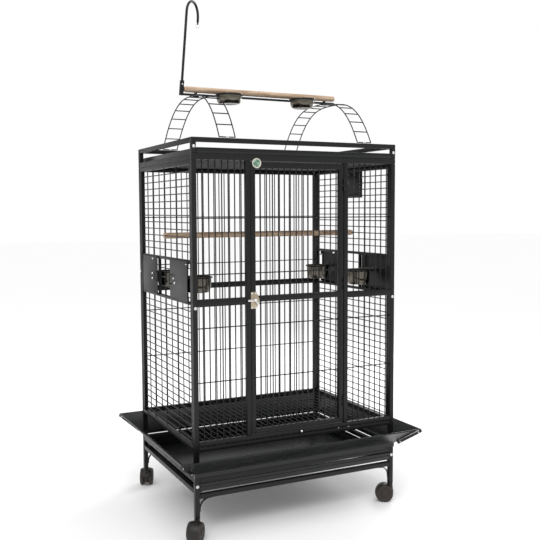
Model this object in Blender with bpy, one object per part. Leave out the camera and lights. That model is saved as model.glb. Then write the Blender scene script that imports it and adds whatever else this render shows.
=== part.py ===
"""Bird cage on a wheeled stand, with a play top.

A rectangular wire cage of square steel tube stands on four legs with
twin-wheel casters. It has a hinged front door, four swing-out feeder doors
with cups, a nest door, a pull-out floor grate and tray, four sloping seed
guards, and on the roof a pull-out tray, two arched ladders, a perch with two
cups and a toy hook.

Frame: +X right along the front, +Y to the back, +Z up, origin on the floor
under the middle of the cage. Metres throughout.
"""
import bpy
import bmesh
import math
import numpy as np
from mathutils import Matrix, Vector

for ob in list(bpy.data.objects):
    bpy.data.objects.remove(ob, do_unlink=True)

# ----------------------------------------------------------------- dimensions
WIDTH = 0.914            # outer width over the corner posts
DEPTH = 0.677            # outer depth over the corner posts
TUBE = 0.019             # square tube
GAP = 0.0003             # gap between touching pieces
WIRE = 0.0040            # upright bars
WIRE_THIN = 0.0036       # cross wires of the sides

LEG_Z0 = 0.0780          # lower end of the legs
LEG_Z1 = 0.2600          # legs end, posts begin
POST_Z1 = 1.4547         # top of the posts
TOP_Z0, TOP_Z1 = 1.4550, 1.4777      # roof rail
BASE_Z0, BASE_Z1 = 0.3450, 0.3640    # rail under the cage, sides and back
SILL_Z0, SILL_Z1 = 0.3590, 0.3780    # the same rail in front
RAIL_Z0, RAIL_Z1 = 0.1570, 0.1760    # lower stand rail, front and back
SRAIL_Z0, SRAIL_Z1 = 0.1765, 0.1955  # lower stand rail, sides
URAIL_Z0, URAIL_Z1 = 0.2205, 0.2395  # upper stand rail
HEAD_Z0 = 1.4375                     # underside of the panels' top rails
MID_Z0, MID_Z1 = 0.9020, 0.9270      # middle rail, front and back

DOOR_X0, DOOR_X1 = -0.2160, 0.2030
DOOR_Z0, DOOR_Z1 = 0.3820, 1.4505
STILE_L = (-0.2360, -0.2170)         # fixed stiles beside the door
STILE_R = (0.2060, 0.2250)
# upright bars of each grille: first bar, spacing, number
BARS_LEFT = (-0.4135, 0.0268, 7)
BARS_DOOR = (-0.17045, 0.02635, 14)
BARS_RIGHT = (0.2562, 0.02705, 7)
BARS_BACK = (-0.4177, 0.02655, 33)

FEED_Z0, FEED_Z1 = 0.9035, 1.0755    # feeder zone of each side
FEED_RAIL = 0.0115
WIRE_PITCH = 0.0277
WIRE_Z = 0.3798           # lowest cross wire of the sides
UPPER_PITCH = 0.0279
UPPER_Z = 1.1060          # lowest cross wire above the feeder zone
END_STILE = 0.0160
SIDE_UPRIGHTS = (-0.128, 0.0225, 0.175)
PLATE_Y0, PLATE_Y1 = 0.0800, 0.2900  # feeder door, from the middle outwards
PLATE_Z0, PLATE_Z1 = 0.9080, 1.0710
PLATE_T = 0.0020
CUP_X, CUP_Y = 0.3750, 0.1800
CUP_R, CUP_FLANGE_R, CUP_BASE_R = 0.0520, 0.0562, 0.0440
CUP_WALL = 0.0012
HOLDER_R0, HOLDER_R1 = 0.0527, 0.0577
HOLDER_Z0, HOLDER_Z1 = 0.9965, 1.0015

NEST_Y0, NEST_Y1 = -0.0800, 0.1200
NEST_Z0, NEST_Z1 = 1.3200, 1.4530

GUARD_LINE = ((0.0012, 0.2405), (0.0012, 0.2570), (0.0080, 0.2630), (0.0845, 0.3300),
              (0.0848, 0.3243))
GUARD_T = 0.0018

PERCH_R = 0.0125
PERCH_Z = 1.1616

PLAY_Z0, PLAY_Z1 = 1.5200, 1.5380    # play-top rail
LADDER_X = ((-0.3440, -0.2740), (0.2700, 0.3400))
LADDER_Y = 0.3320
LADDER_RISE = 0.1912
LADDER_POWER = ((3.30, 2.30), (3.15, 2.90))   # each ladder: front half, back half
LADDER_Z = 1.5403
LADDER_WIRE = 0.0040
RUNG_PITCH = 0.0560

BAR_X0, BAR_X1 = -0.3725, 0.3550
BAR_Z0, BAR_Z1 = 1.7387, 1.7472
TOP_PERCH_X = (-0.3600, 0.3550)
TOP_PERCH_Z = 1.7640
TOP_CUPS = (-0.1880, 0.1560)
TOP_CUP_Y = -0.0700
TOP_HOLDER_Z0, TOP_HOLDER_Z1 = 1.7368, 1.7418

HOOK_LEAN = math.radians(4.8)
HOOK_TURN = math.radians(44.0)
HOOK_R = 0.0055
HOOK_BEND = 0.0543
HOOK_STRAIGHT = 0.3421
HOOK_TIP = 0.0200

WHEEL_R = 0.0370
WHEEL_TRAIL = 0.0240
WHEEL_SEGS = 16

HX, HY = WIDTH / 2, DEPTH / 2
XI, YI = HX - TUBE, HY - TUBE        # inner faces of the posts


# -------------------------------------------------------------------- helpers
def material(name, rgb, rough, metal):
    m = bpy.data.materials.new(name)
    m.use_nodes = True
    b = m.node_tree.nodes["Principled BSDF"]
    b.inputs["Base Color"].default_value = (*rgb, 1.0)
    b.inputs["Roughness"].default_value = rough
    b.inputs["Metallic"].default_value = metal
    return m


BLACK = ((0.018, 0.019, 0.019), 0.45, 0.0)
GLOSS = ((0.016, 0.017, 0.019), 0.25, 0.0)
STEEL = ((0.55, 0.54, 0.52), 0.22, 1.0)
PLATED = ((0.70, 0.69, 0.66), 0.25, 1.0)
WOOD = ((0.58, 0.40, 0.26), 0.70, 0.0)
RUBBER = ((0.060, 0.055, 0.050), 0.60, 0.0)
PLASTIC = ((0.030, 0.029, 0.028), 0.50, 0.0)
BADGE = ((0.55, 0.58, 0.52), 0.35, 0.0)


def make_object(name, mesh, look, origin=(0, 0, 0)):
    """Object from a mesh in world coordinates, with its origin moved."""
    origin = Vector(origin)
    mesh.transform(Matrix.Translation(-origin))
    ob = bpy.data.objects.new(name, mesh)
    bpy.context.scene.collection.objects.link(ob)
    ob.location = origin
    mesh.materials.append(material(name, *look))
    return ob


def grid_mesh(name, xs, ys, zs, filled, place=None):
    """Closed skin round the filled cells of a rectangular grid."""
    nx, ny, nz = len(xs) - 1, len(ys) - 1, len(zs) - 1
    f = np.zeros((nx + 2, ny + 2, nz + 2), bool)
    f[1:-1, 1:-1, 1:-1] = filled
    index, verts, faces = {}, [], []

    def vert(i, j, k):
        key = (i, j, k)
        if key not in index:
            index[key] = len(verts)
            p = (xs[i], ys[j], zs[k])
            verts.append(place(*p) if place else p)
        return index[key]

    corners = {
        (-1, 0, 0): ((0, 0, 0), (0, 0, 1), (0, 1, 1), (0, 1, 0)),
        (1, 0, 0): ((1, 0, 0), (1, 1, 0), (1, 1, 1), (1, 0, 1)),
        (0, -1, 0): ((0, 0, 0), (1, 0, 0), (1, 0, 1), (0, 0, 1)),
        (0, 1, 0): ((0, 1, 0), (0, 1, 1), (1, 1, 1), (1, 1, 0)),
        (0, 0, -1): ((0, 0, 0), (0, 1, 0), (1, 1, 0), (1, 0, 0)),
        (0, 0, 1): ((0, 0, 1), (1, 0, 1), (1, 1, 1), (0, 1, 1)),
    }
    for (dx, dy, dz), quad in corners.items():
        near = f[1:-1, 1:-1, 1:-1]
        far = f[1 + dx:nx + 1 + dx, 1 + dy:ny + 1 + dy, 1 + dz:nz + 1 + dz]
        for i, j, k in np.argwhere(near & ~far):
            faces.append([vert(i + a, j + b, k + c) for a, b, c in quad])
    me = bpy.data.meshes.new(name)
    me.from_pydata(verts, [], faces)
    me.update()
    return me


def box_mesh(name, boxes):
    """One closed mesh for the union of axis-aligned boxes."""
    rnd = [tuple(tuple(round(v, 6) for v in sorted(r)) for r in b) for b in boxes]
    axes = [sorted({v for b in rnd for v in b[a]}) for a in range(3)]
    filled = np.zeros([len(a) - 1 for a in axes], bool)
    for b in rnd:
        s = tuple(slice(axes[a].index(b[a][0]), axes[a].index(b[a][1])) for a in range(3))
        filled[s] = True
    return grid_mesh(name, *axes, filled)


def boxes(name, parts, look, origin=(0, 0, 0)):
    return make_object(name, box_mesh(name, parts), look, origin)


def lathe_mesh(name, profile, segs, place, turn=0.0):
    """Turned piece: profile of (radius, height), radius 0 at both ends or a
    closed ring. place moves the turned shape from its own +Z axis."""
    bm = bmesh.new()
    vs = [bm.verts.new((r, 0, h)) for r, h in profile]
    ring = profile[0][0] > 0
    es = [bm.edges.new((a, b)) for a, b in zip(vs, vs[1:])]
    if ring:
        es.append(bm.edges.new((vs[-1], vs[0])))
    bmesh.ops.spin(bm, geom=vs + es, cent=(0, 0, 0), axis=(0, 0, 1),
                   angle=2 * math.pi, steps=segs, use_duplicate=False)
    bmesh.ops.remove_doubles(bm, verts=bm.verts, dist=1e-6)
    bmesh.ops.recalc_face_normals(bm, faces=bm.faces)
    bmesh.ops.transform(bm, matrix=place @ Matrix.Rotation(turn, 4, 'Z'), verts=bm.verts)
    me = bpy.data.meshes.new(name)
    bm.to_mesh(me)
    bm.free()
    me.shade_smooth()
    me.set_sharp_from_angle(angle=math.radians(40))
    return me


def sweep_mesh(name, path, radius, sides):
    """Round rod along a path, closed at both ends."""
    path = [Vector(p) for p in path]
    bm = bmesh.new()
    rings = []
    tangent = (path[1] - path[0]).normalized()
    side = tangent.orthogonal().normalized()
    for i, p in enumerate(path):
        if i == 0:
            t = (path[1] - path[0]).normalized()
        elif i == len(path) - 1:
            t = (path[-1] - path[-2]).normalized()
        else:
            t = (path[i + 1] - path[i - 1]).normalized()
        side = (side - t * side.dot(t)).normalized()
        up = t.cross(side)
        rings.append([bm.verts.new(p + radius * (math.cos(a) * side + math.sin(a) * up))
                      for a in (2 * math.pi * k / sides for k in range(sides))])
    for a, b in zip(rings, rings[1:]):
        for k in range(sides):
            n = (k + 1) % sides
            bm.faces.new((a[k], a[n], b[n], b[k]))
    bm.faces.new(list(reversed(rings[0])))
    bm.faces.new(rings[-1])
    bmesh.ops.recalc_face_normals(bm, faces=bm.faces)
    me = bpy.data.meshes.new(name)
    bm.to_mesh(me)
    bm.free()
    return me


def combine(name, meshes, operation, look, origin=(0, 0, 0)):
    """First mesh with each further mesh joined to it or cut from it."""
    me = meshes[0]
    for k, (other, op) in enumerate(zip(meshes[1:], operation)):
        a = bpy.data.objects.new(name + "_a", me)
        b = bpy.data.objects.new(name + "_b", other)
        for o in (a, b):
            bpy.context.scene.collection.objects.link(o)
        mod = a.modifiers.new("join", 'BOOLEAN')
        mod.operation = op
        mod.solver = 'EXACT'
        mod.object = b
        dg = bpy.context.evaluated_depsgraph_get()
        me = bpy.data.meshes.new_from_object(a.evaluated_get(dg))
        me.materials.clear()
        bpy.data.objects.remove(a, do_unlink=True)
        bpy.data.objects.remove(b, do_unlink=True)
    me.name = name
    return make_object(name, me, look, origin)


def ring_mesh(name, r0, r1, z0, z1, centre, segs=20):
    return lathe_mesh(name, [(r0, z0), (r1, z0), (r1, z1), (r0, z1)], segs,
                      Matrix.Translation((centre[0], centre[1], 0)))


# ---------------------------------------------------------------------- stand
def inward(side, d0, d1):
    """X range at a depth from the outer face of the left (-1) or right (1)."""
    return tuple(sorted((side * (HX - d0), side * (HX - d1))))


FRONT_TUBE = (-HY, -YI)
BACK_TUBE = (YI, HY)

for side, word in ((-1, "left"), (1, "right")):
    tube = inward(side, 0, TUBE)
    boxes(f"stand_{word}_frame", [
        (tube, FRONT_TUBE, (LEG_Z0, LEG_Z1)),
        (tube, BACK_TUBE, (LEG_Z0, LEG_Z1)),
        (tube, (-HY, HY), (SRAIL_Z0, SRAIL_Z1)),
        (tube, (-HY, HY), (URAIL_Z0, URAIL_Z1)),
        # ledge the tray slides on
        (inward(side, TUBE - 0.002, TUBE + 0.010), (-HY + 0.002, HY - 0.002), (0.1830, 0.1862)),
    ], BLACK)


def brace(side, y):
    """Quarter-round strip in the corner between a leg and a lower rail."""
    cx, cz = side * (XI - 0.0435), RAIL_Z0 - 0.0420
    segs = 6

    def place(a, yy, r):
        return (cx + side * r * math.cos(a), yy, cz + r * math.sin(a))
    angles = [math.radians(90) * k / segs for k in range(segs + 1)]
    me = grid_mesh("brace", angles, [y - 0.004, y + 0.004], [0.0385, 0.0430],
                   np.ones((segs, 1, 1), bool), place)
    bm = bmesh.new()
    bm.from_mesh(me)
    bmesh.ops.recalc_face_normals(bm, faces=bm.faces)
    bm.to_mesh(me)
    bm.free()
    return me


for word, tube in (("front", FRONT_TUBE), ("back", BACK_TUBE)):
    mid = sum(tube) / 2
    rail = box_mesh("rail", [((-XI + GAP, XI - GAP), tube, (RAIL_Z0, RAIL_Z1))])
    combine(f"stand_{word}_rail", [rail, brace(-1, mid), brace(1, mid)],
            ["UNION", "UNION"], BLACK)
    boxes(f"stand_{word}_upper_rail",
          [((-XI + GAP, XI - GAP), tube, (URAIL_Z0, URAIL_Z1))], BLACK)


# --------------------------------------------------------------- seed guards
def offset_line(line, t):
    """Closed outline of a sheet of thickness t along a bent line."""
    pts = [Vector(p) for p in line]
    sides = ([], [])
    for i, p in enumerate(pts):
        dirs = []
        if i > 0:
            dirs.append((pts[i] - pts[i - 1]).normalized())
        if i < len(pts) - 1:
            dirs.append((pts[i + 1] - pts[i]).normalized())
        n = Vector((0, 0))
        for d in dirs:
            n += Vector((-d.y, d.x))
        n.normalize()
        k = t / 2 / max(0.5, n.dot(Vector((-dirs[0].y, dirs[0].x))))
        sides[0].append(p + n * k)
        sides[1].append(p - n * k)
    return sides[0] + list(reversed(sides[1]))


def guard(name, along, half, out, sign):
    """Sloping sheet on one side. along and out are axis numbers, half the
    half-length of the cage side, sign the side it is on."""
    outline = offset_line(GUARD_LINE, GUARD_T)
    base = HY if out == 1 else HX
    bm = bmesh.new()
    rings = []
    for end in (-1, 1):
        ring = []
        for o, z in outline:
            p = [0, 0, z]
            p[along] = end * (half + o - GAP)
            p[out] = sign * (base + o)
            ring.append(bm.verts.new(p))
        rings.append(ring)
    n = len(outline)
    for k in range(n):
        m = (k + 1) % n
        bm.faces.new((rings[0][k], rings[0][m], rings[1][m], rings[1][k]))
    bm.faces.new(rings[0])
    bm.faces.new(rings[1])
    bmesh.ops.recalc_face_normals(bm, faces=bm.faces)
    me = bpy.data.meshes.new(name)
    bm.to_mesh(me)
    bm.free()
    make_object(name, me, GLOSS)


guard("seed_guard_front", 0, HX, 1, -1)
guard("seed_guard_back", 0, HX, 1, 1)
guard("seed_guard_left", 1, HY, 0, -1)
guard("seed_guard_right", 1, HY, 0, 1)

# ----------------------------------------------------------------- cage frame
for side, word in ((-1, "left"), (1, "right")):
    for tube, end in ((FRONT_TUBE, "front"), (BACK_TUBE, "back")):
        boxes(f"post_{end}_{word}",
              [(inward(side, 0, TUBE), tube, (LEG_Z1 + GAP, POST_Z1))], BLACK)

boxes("base_front_rail", [((-XI + GAP, XI - GAP), FRONT_TUBE, (SILL_Z0, SILL_Z1))], BLACK)


def upright(x, y, z0, z1, w=WIRE):
    return ((x - w / 2, x + w / 2), (y - w / 2, y + w / 2), (z0, z1))


BAR_Z = (SILL_Z1 + GAP, POST_Z1)
YF = -HY + TUBE / 2
YB = HY - TUBE / 2


def bars(row, y, z0, z1):
    """Upright bars at even spacing."""
    x0, step, n = row
    return [upright(x0 + step * k, y, z0, z1) for k in range(n)]


boxes("front_panel_left",
      bars(BARS_LEFT, YF, *BAR_Z)
      + [(STILE_L, FRONT_TUBE, BAR_Z),
         ((-XI + GAP, STILE_L[0]), FRONT_TUBE, (MID_Z0, MID_Z1))], BLACK)
boxes("front_panel_right",
      bars(BARS_RIGHT, YF, *BAR_Z)
      + [(STILE_R, FRONT_TUBE, BAR_Z),
         ((STILE_R[1], XI - GAP), FRONT_TUBE, (MID_Z0, MID_Z1))], BLACK)
boxes("back_panel",
      bars(BARS_BACK, YB, BASE_Z1, HEAD_Z0)
      + [((-XI + GAP, XI - GAP), BACK_TUBE, z)
         for z in ((BASE_Z0, BASE_Z1), (MID_Z0, MID_Z1), (HEAD_Z0, POST_Z1))], BLACK)


# ---------------------------------------------------------------- side panels
def side_wire(side, y0, y1, z):
    return (inward(side, TUBE / 2 - WIRE_THIN / 2, TUBE / 2 + WIRE_THIN / 2),
            (y0, y1), (z - WIRE_THIN / 2, z + WIRE_THIN / 2))


def side_upright(side, y, z0, z1, w=WIRE):
    return (inward(side, TUBE / 2 - w / 2, TUBE / 2 + w / 2), (y - w / 2, y + w / 2), (z0, z1))


def end_stiles(side, z0, z1):
    """The two upright strips of a side panel, next to the posts."""
    return [(inward(side, 0.0010, TUBE - 0.0010), y, (z0, z1))
            for y in ((-YE, -YE + END_STILE), (YE - END_STILE, YE))]


YE = YI - GAP
for side, word in ((-1, "left"), (1, "right")):
    tube = inward(side, 0, TUBE)
    lower = [(tube, (-YE, YE), (BASE_Z0, BASE_Z1))]
    # ledge the floor grate slides on
    lower.append((inward(side, TUBE - 0.0020, TUBE + 0.0080), (-YE, YE), (0.3490, 0.3526)))
    lower += end_stiles(side, BASE_Z0, FEED_Z0 - GAP)
    n = int((FEED_Z0 - WIRE_Z) / WIRE_PITCH)
    lower += [side_wire(side, -YE, YE, WIRE_Z + WIRE_PITCH * k) for k in range(n + 1)
              if WIRE_Z + WIRE_PITCH * k < FEED_Z0 - 0.006]
    lower += [side_upright(side, y, BASE_Z1, FEED_Z0 - GAP) for y in SIDE_UPRIGHTS]
    boxes(f"{word}_panel_lower", lower, BLACK)

    centre = []
    thick = inward(side, 0.0035, 0.0155)
    centre += [(thick, (-YE, YE), (FEED_Z0, FEED_Z0 + FEED_RAIL)),
               (thick, (-YE, YE), (FEED_Z1 - FEED_RAIL, FEED_Z1))]
    for y in (-1, 1):
        centre.append((thick, tuple(sorted((y * 0.0785, y * 0.0865))), (FEED_Z0, FEED_Z1)))
    centre += [side_wire(side, -0.0785, 0.0785, z) for z in (0.9520, 0.9895, 1.0270)]
    centre.append(side_upright(side, SIDE_UPRIGHTS[1], FEED_Z0, FEED_Z1))
    centre += end_stiles(side, FEED_Z0, FEED_Z1)
    boxes(f"{word}_panel_center", centre, BLACK)

    upper = [(tube, (-YE, YE), (HEAD_Z0, POST_Z1))]
    upper += end_stiles(side, FEED_Z1 + GAP, POST_Z1)
    n = int((HEAD_Z0 - UPPER_Z) / UPPER_PITCH)
    levels = [UPPER_Z + UPPER_PITCH * k for k in range(n + 1)
              if UPPER_Z + UPPER_PITCH * k < HEAD_Z0 - 0.006]
    if side < 0:
        upper += [side_wire(side, -YE, YE, z) for z in levels]
        upper += [side_upright(side, y, FEED_Z1 + GAP, POST_Z1) for y in SIDE_UPRIGHTS]
    else:
        # the nest door covers a gap in the wires
        sill = max(z for z in levels if z < NEST_Z0 + 0.012)
        jambs = (NEST_Y0 + 0.0065, NEST_Y1 - 0.0065)
        for z in levels:
            if z <= sill:
                upper.append(side_wire(side, -YE, YE, z))
            else:
                upper.append(side_wire(side, -YE, jambs[0], z))
                upper.append(side_wire(side, jambs[1], YE, z))
        for y in SIDE_UPRIGHTS:
            top = sill if jambs[0] < y < jambs[1] else POST_Z1
            upper.append(side_upright(side, y, FEED_Z1 + GAP, top))
        upper += [side_upright(side, y, sill, POST_Z1) for y in jambs]
    boxes(f"{word}_panel_upper", upper, BLACK)

# ------------------------------------------------------------ roof and perch
ROOF_BAR_Z = (TOP_Z0, TOP_Z0 + 0.0040)
roof = [upright(-XI + (2 * XI / 33) * k, 0, *ROOF_BAR_Z) for k in range(1, 33)]
roof = [(b[0], (-YI - 0.0020, YI + 0.0020), b[2]) for b in roof]
roof += [((-XI - 0.0020, XI + 0.0020), (-0.003, 0.003), ROOF_BAR_Z),
         ((-HX, HX), FRONT_TUBE, (TOP_Z0, TOP_Z1)),
         ((-HX, HX), BACK_TUBE, (TOP_Z0, TOP_Z1)),
         ((-HX, -XI), (-HY, HY), (TOP_Z0, TOP_Z1)),
         ((XI, HX), (-HY, HY), (TOP_Z0, TOP_Z1))]
boxes("roof_frame", roof, BLACK)


def dowel(name, x0, x1, y, z, r, segs, look):
    profile = [(0, 0), (r - 0.0015, 0), (r, 0.0015), (r, x1 - x0 - 0.0015), (r - 0.0015, x1 - x0),
               (0, x1 - x0)]
    me = lathe_mesh(name, profile, segs,
                    Matrix.Translation((x0, y, z)) @ Matrix.Rotation(math.pi / 2, 4, 'Y'))
    return make_object(name, me, look)


# perch: its slotted ends sit on a cross wire of each side
dowel("perch_round", -0.4560, 0.4560, 0, PERCH_Z, PERCH_R, 12, WOOD)
perch_round = bpy.data.objects["perch_round"].data.copy()
bpy.data.objects.remove(bpy.data.objects["perch_round"])
slots = [box_mesh("slot", [(inward(side, -0.0100, 0.0140), (-0.0200, 0.0200),
                            (PERCH_Z - 0.0022, PERCH_Z + 0.0024))]) for side in (-1, 1)]
combine("perch", [perch_round, *slots], ["DIFFERENCE", "DIFFERENCE"], WOOD)

# ----------------------------------------------------------------- front door
DOOR_AXIS = (0.2045, -HY - 0.0040, (DOOR_Z0 + DOOR_Z1) / 2)
door = [((DOOR_X0, DOOR_X0 + 0.0195), FRONT_TUBE, (DOOR_Z0, DOOR_Z1)),
        ((DOOR_X1 - 0.0205, DOOR_X1), FRONT_TUBE, (DOOR_Z0, DOOR_Z1)),
        ((DOOR_X0, DOOR_X1), FRONT_TUBE, (DOOR_Z1 - 0.0240, DOOR_Z1)),
        ((DOOR_X0, DOOR_X1), FRONT_TUBE, (DOOR_Z0, DOOR_Z0 + 0.0190)),
        ((DOOR_X0, DOOR_X1), FRONT_TUBE, (0.9070, 0.9300))]
door += bars(BARS_DOOR, YF, DOOR_Z0, DOOR_Z1)
boxes("door_panel", door, BLACK, DOOR_AXIS)

LATCH_Z = 0.9140
boxes("latch_plate", [((-0.2190, -0.1820), (-HY - 0.0033, -HY - GAP),
                       (LATCH_Z - 0.033, LATCH_Z + 0.033))], PLATED, DOOR_AXIS)
boxes("latch_lever", [((-0.2330, -0.1930), (-HY - 0.0096, -HY - 0.0036),
                       (LATCH_Z - 0.006, LATCH_Z + 0.006)),
                      ((-0.2080, -0.1930), (-HY - 0.0150, -HY - 0.0036),
                       (LATCH_Z - 0.0085, LATCH_Z + 0.0085))],
      PLATED, (-0.2005, -HY - 0.0036, LATCH_Z))
me = lathe_mesh("badge", [(0, 0), (0.0190, 0), (0.0190, 0.0015), (0.0175, 0.0025), (0, 0.0025)], 20,
                Matrix.Translation((-0.1900, -HY - GAP, 1.4460)) @ Matrix.Rotation(math.pi / 2, 4, 'X'))
make_object("badge", me, BADGE, DOOR_AXIS)


# --------------------------------------------------------------- feeder doors
def cup_mesh(name, centre, z_top, height):
    z0 = z_top - height
    profile = [(0, z0), (CUP_BASE_R, z0), (CUP_R, z0 + height * 0.45), (CUP_R, z_top - 0.0020),
               (CUP_FLANGE_R, z_top - 0.0020), (CUP_FLANGE_R, z_top), (CUP_R - CUP_WALL, z_top),
               (CUP_R - CUP_WALL, z0 + height * 0.45), (CUP_BASE_R - CUP_WALL, z0 + CUP_WALL),
               (0, z0 + CUP_WALL)]
    return lathe_mesh(name, profile, 16, Matrix.Translation((centre[0], centre[1], 0)))


PLATE_X = (HX + 0.0005, HX + 0.0005 + PLATE_T)
for side, word in ((-1, "left"), (1, "right")):
    for end, where in ((-1, "front"), (1, "back")):
        cx, cy = side * CUP_X, end * CUP_Y
        plate = [(tuple(sorted(side * v for v in PLATE_X)),
                  tuple(sorted(end * v for v in (PLATE_Y0, PLATE_Y1))), (PLATE_Z0, PLATE_Z1))]
        for a in (-0.030, 0.030):
            plate.append((tuple(sorted((side * (HX + 0.0010), side * (CUP_X + 0.0480)))),
                          (cy + a - 0.0025, cy + a + 0.0025), (HOLDER_Z0, HOLDER_Z1)))
        holder = ring_mesh("holder", HOLDER_R0, HOLDER_R1, HOLDER_Z0, HOLDER_Z1, (cx, cy), 16)
        axis = (side * (HX + 0.0015), end * 0.2925, (PLATE_Z0 + PLATE_Z1) / 2)
        combine(f"feeder_door_{where}_{word}", [box_mesh("plate", plate), holder], ["UNION"],
                GLOSS, axis)
        make_object(f"feeder_cup_{where}_{word}",
                    cup_mesh("cup", (cx, cy), HOLDER_Z1 + GAP + 0.0020, 0.0640), STEEL,
                    (cx, cy, HOLDER_Z1))

boxes("nest_door", [(PLATE_X, (NEST_Y0, NEST_Y1), (NEST_Z0, NEST_Z1))], GLOSS,
      (HX + 0.0015, NEST_Y1 + 0.0025, (NEST_Z0 + NEST_Z1) / 2))

# ------------------------------------------------------------ grate and trays
GX = 0.4372
GRATE_Z = (0.3530, 0.3570)
GY = (-HY, YI - 0.0010)
grate = [upright(-GX + (2 * GX / 33) * k, 0, *GRATE_Z) for k in range(1, 33)]
grate = [(b[0], GY, b[2]) for b in grate]
grate += [((-GX, GX), (GY[0], GY[0] + 0.0030), (0.3405, GRATE_Z[1])),
          ((-GX, GX), (GY[1] - 0.0040, GY[1]), GRATE_Z),
          ((-GX, GX), (-0.003, 0.003), GRATE_Z),
          ((-GX, -GX + 0.0040), GY, GRATE_Z),
          ((GX - 0.0040, GX), GY, GRATE_Z)]
boxes("floor_grate", grate, BLACK)

boxes("waste_tray", [
    ((-GX, GX), (-HY, HY), (0.1866, 0.1890)),
    ((-GX, -GX + 0.0022), (-HY, HY), (0.1866, 0.2200)),
    ((GX - 0.0022, GX), (-HY, HY), (0.1866, 0.2200)),
    ((-GX, GX), (HY - 0.0022, HY), (0.1866, 0.2200)),
    ((-GX, GX), (-HY, -HY + 0.0025), (0.1866, 0.2185)),
    ((-GX, GX), (-HY - 0.0030, -HY), (0.2145, 0.2185)),
    ((-GX, GX), (-HY - 0.0020, -HY), (0.2015, 0.2050)),
], GLOSS)

boxes("playtop_tray", [
    ((-0.4368, 0.4368), (-HY, HY), (1.4782, 1.4806)),
    ((-0.4368, -0.4346), (-HY, HY), (1.4782, 1.4990)),
    ((0.4346, 0.4368), (-HY, HY), (1.4782, 1.4990)),
    ((-0.4368, 0.4368), (HY - 0.0022, HY), (1.4782, 1.4990)),
    ((-0.4368, 0.4368), (-HY, -HY + 0.0022), (1.4782, 1.5000)),
    ((-0.4368, 0.4368), (-HY - 0.0030, -HY + 0.0022), (1.4930, 1.5000)),
], GLOSS)

# ------------------------------------------------------------------- play top
play = [((-HX, HX), FRONT_TUBE, (PLAY_Z0, PLAY_Z1)), ((-HX, HX), BACK_TUBE, (PLAY_Z0, PLAY_Z1)),
        ((-HX, -XI), (-HY, HY), (PLAY_Z0, PLAY_Z1)), ((XI, HX), (-HY, HY), (PLAY_Z0, PLAY_Z1))]
for side in (-1, 1):
    for tube in (FRONT_TUBE, BACK_TUBE):
        play.append((inward(side, 0, TUBE), tube, (TOP_Z1 + GAP, PLAY_Z1)))
boxes("playtop_frame", play, BLACK)


def arch_curve(front, back, n=600):
    """Points along a ladder's arch, with the arc length at each. The two halves
    have their own fullness."""
    t = [-1 + 2 * k / n for k in range(n + 1)]
    pts = [(LADDER_Y * u, LADDER_Z + LADDER_RISE * (1 - abs(u) ** (front if u < 0 else back)))
           for u in t]
    s = [0.0]
    for a, b in zip(pts, pts[1:]):
        s.append(s[-1] + math.dist(a, b))
    return pts, s


def arch_at(arch, s):
    pts, dist = arch
    s = min(max(s, 0.0), dist[-1])
    k = min(max(np.searchsorted(dist, s), 1), len(pts) - 1)
    f = (s - dist[k - 1]) / (dist[k] - dist[k - 1])
    (ya, za), (yb, zb) = pts[k - 1], pts[k]
    d = Vector((yb - ya, zb - za)).normalized()
    return ya + f * (yb - ya), za + f * (zb - za), -d.y, d.x


def ladder(name, x0, x1, power):
    arch = arch_curve(*power)
    total = arch[1][-1]
    w = LADDER_WIRE
    rungs = round(total / RUNG_PITCH)
    centres = [w / 2 + (total - w) * k / rungs for k in range(rungs + 1)]
    cuts = []
    for a, b in zip(centres, centres[1:]):
        cuts += [a - w / 2, a + w / 2]
    cuts += [centres[-1] - w / 2, centres[-1] + w / 2]
    xs = [x0, x0 + w, x1 - w, x1]
    filled = np.ones((3, len(cuts) - 1, 1), bool)
    for j in range(len(cuts) - 1):
        m = (cuts[j] + cuts[j + 1]) / 2
        if min(abs(m - c) for c in centres) > w / 2:
            filled[1, j, 0] = False

    def place(x, s, r):
        y, z, ny, nz = arch_at(arch, s)
        return (x, y + r * ny, z + r * nz)
    make_object(name, grid_mesh(name, xs, cuts, [-w / 2, w / 2], filled, place), BLACK)


ladder("ladder_left", *LADDER_X[0], LADDER_POWER[0])
ladder("ladder_right", *LADDER_X[1], LADDER_POWER[1])

# bar over the arches, with cup holders and the socket of the toy hook
SOCKET = Vector((BAR_X0, 0, BAR_Z0))
LEAN = Vector((math.sin(HOOK_LEAN), 0, math.cos(HOOK_LEAN)))
bar = [((BAR_X0, BAR_X1), (-0.0050, 0.0050), (BAR_Z0, BAR_Z1))]
APEX_Z = LADDER_Z + LADDER_RISE + LADDER_WIRE / 2
for x0, x1 in LADDER_X:
    mid = (x0 + x1) / 2
    bar.append(((mid - 0.012, mid + 0.012), (-0.0085, 0.0085), (APEX_Z + 0.0004, BAR_Z0 + 0.002)))
    # distance piece that carries the perch
    bar.append(((mid - 0.006, mid + 0.006), (-0.0035, 0.0035),
                (BAR_Z1 - 0.002, TOP_PERCH_Z - PERCH_R - GAP)))
for cx in TOP_CUPS:
    bar.append(((cx - 0.012, cx + 0.012), (-0.0150, 0.0), (TOP_HOLDER_Z0, TOP_HOLDER_Z1)))
tilt = Matrix.Translation(SOCKET) @ Matrix.Rotation(HOOK_LEAN, 4, 'Y')
socket = box_mesh("socket", [((-0.0073, 0.0073), (-0.0073, 0.0073), (0.0, 0.0600))])
socket.transform(tilt)
bore = lathe_mesh("bore", [(0, 0.0120), (0.0058, 0.0120), (0.0058, 0.0800), (0, 0.0800)], 12, tilt)
holders = [ring_mesh("holder", HOLDER_R0, HOLDER_R1, TOP_HOLDER_Z0, TOP_HOLDER_Z1,
                     (cx, TOP_CUP_Y), 16) for cx in TOP_CUPS]
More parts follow.
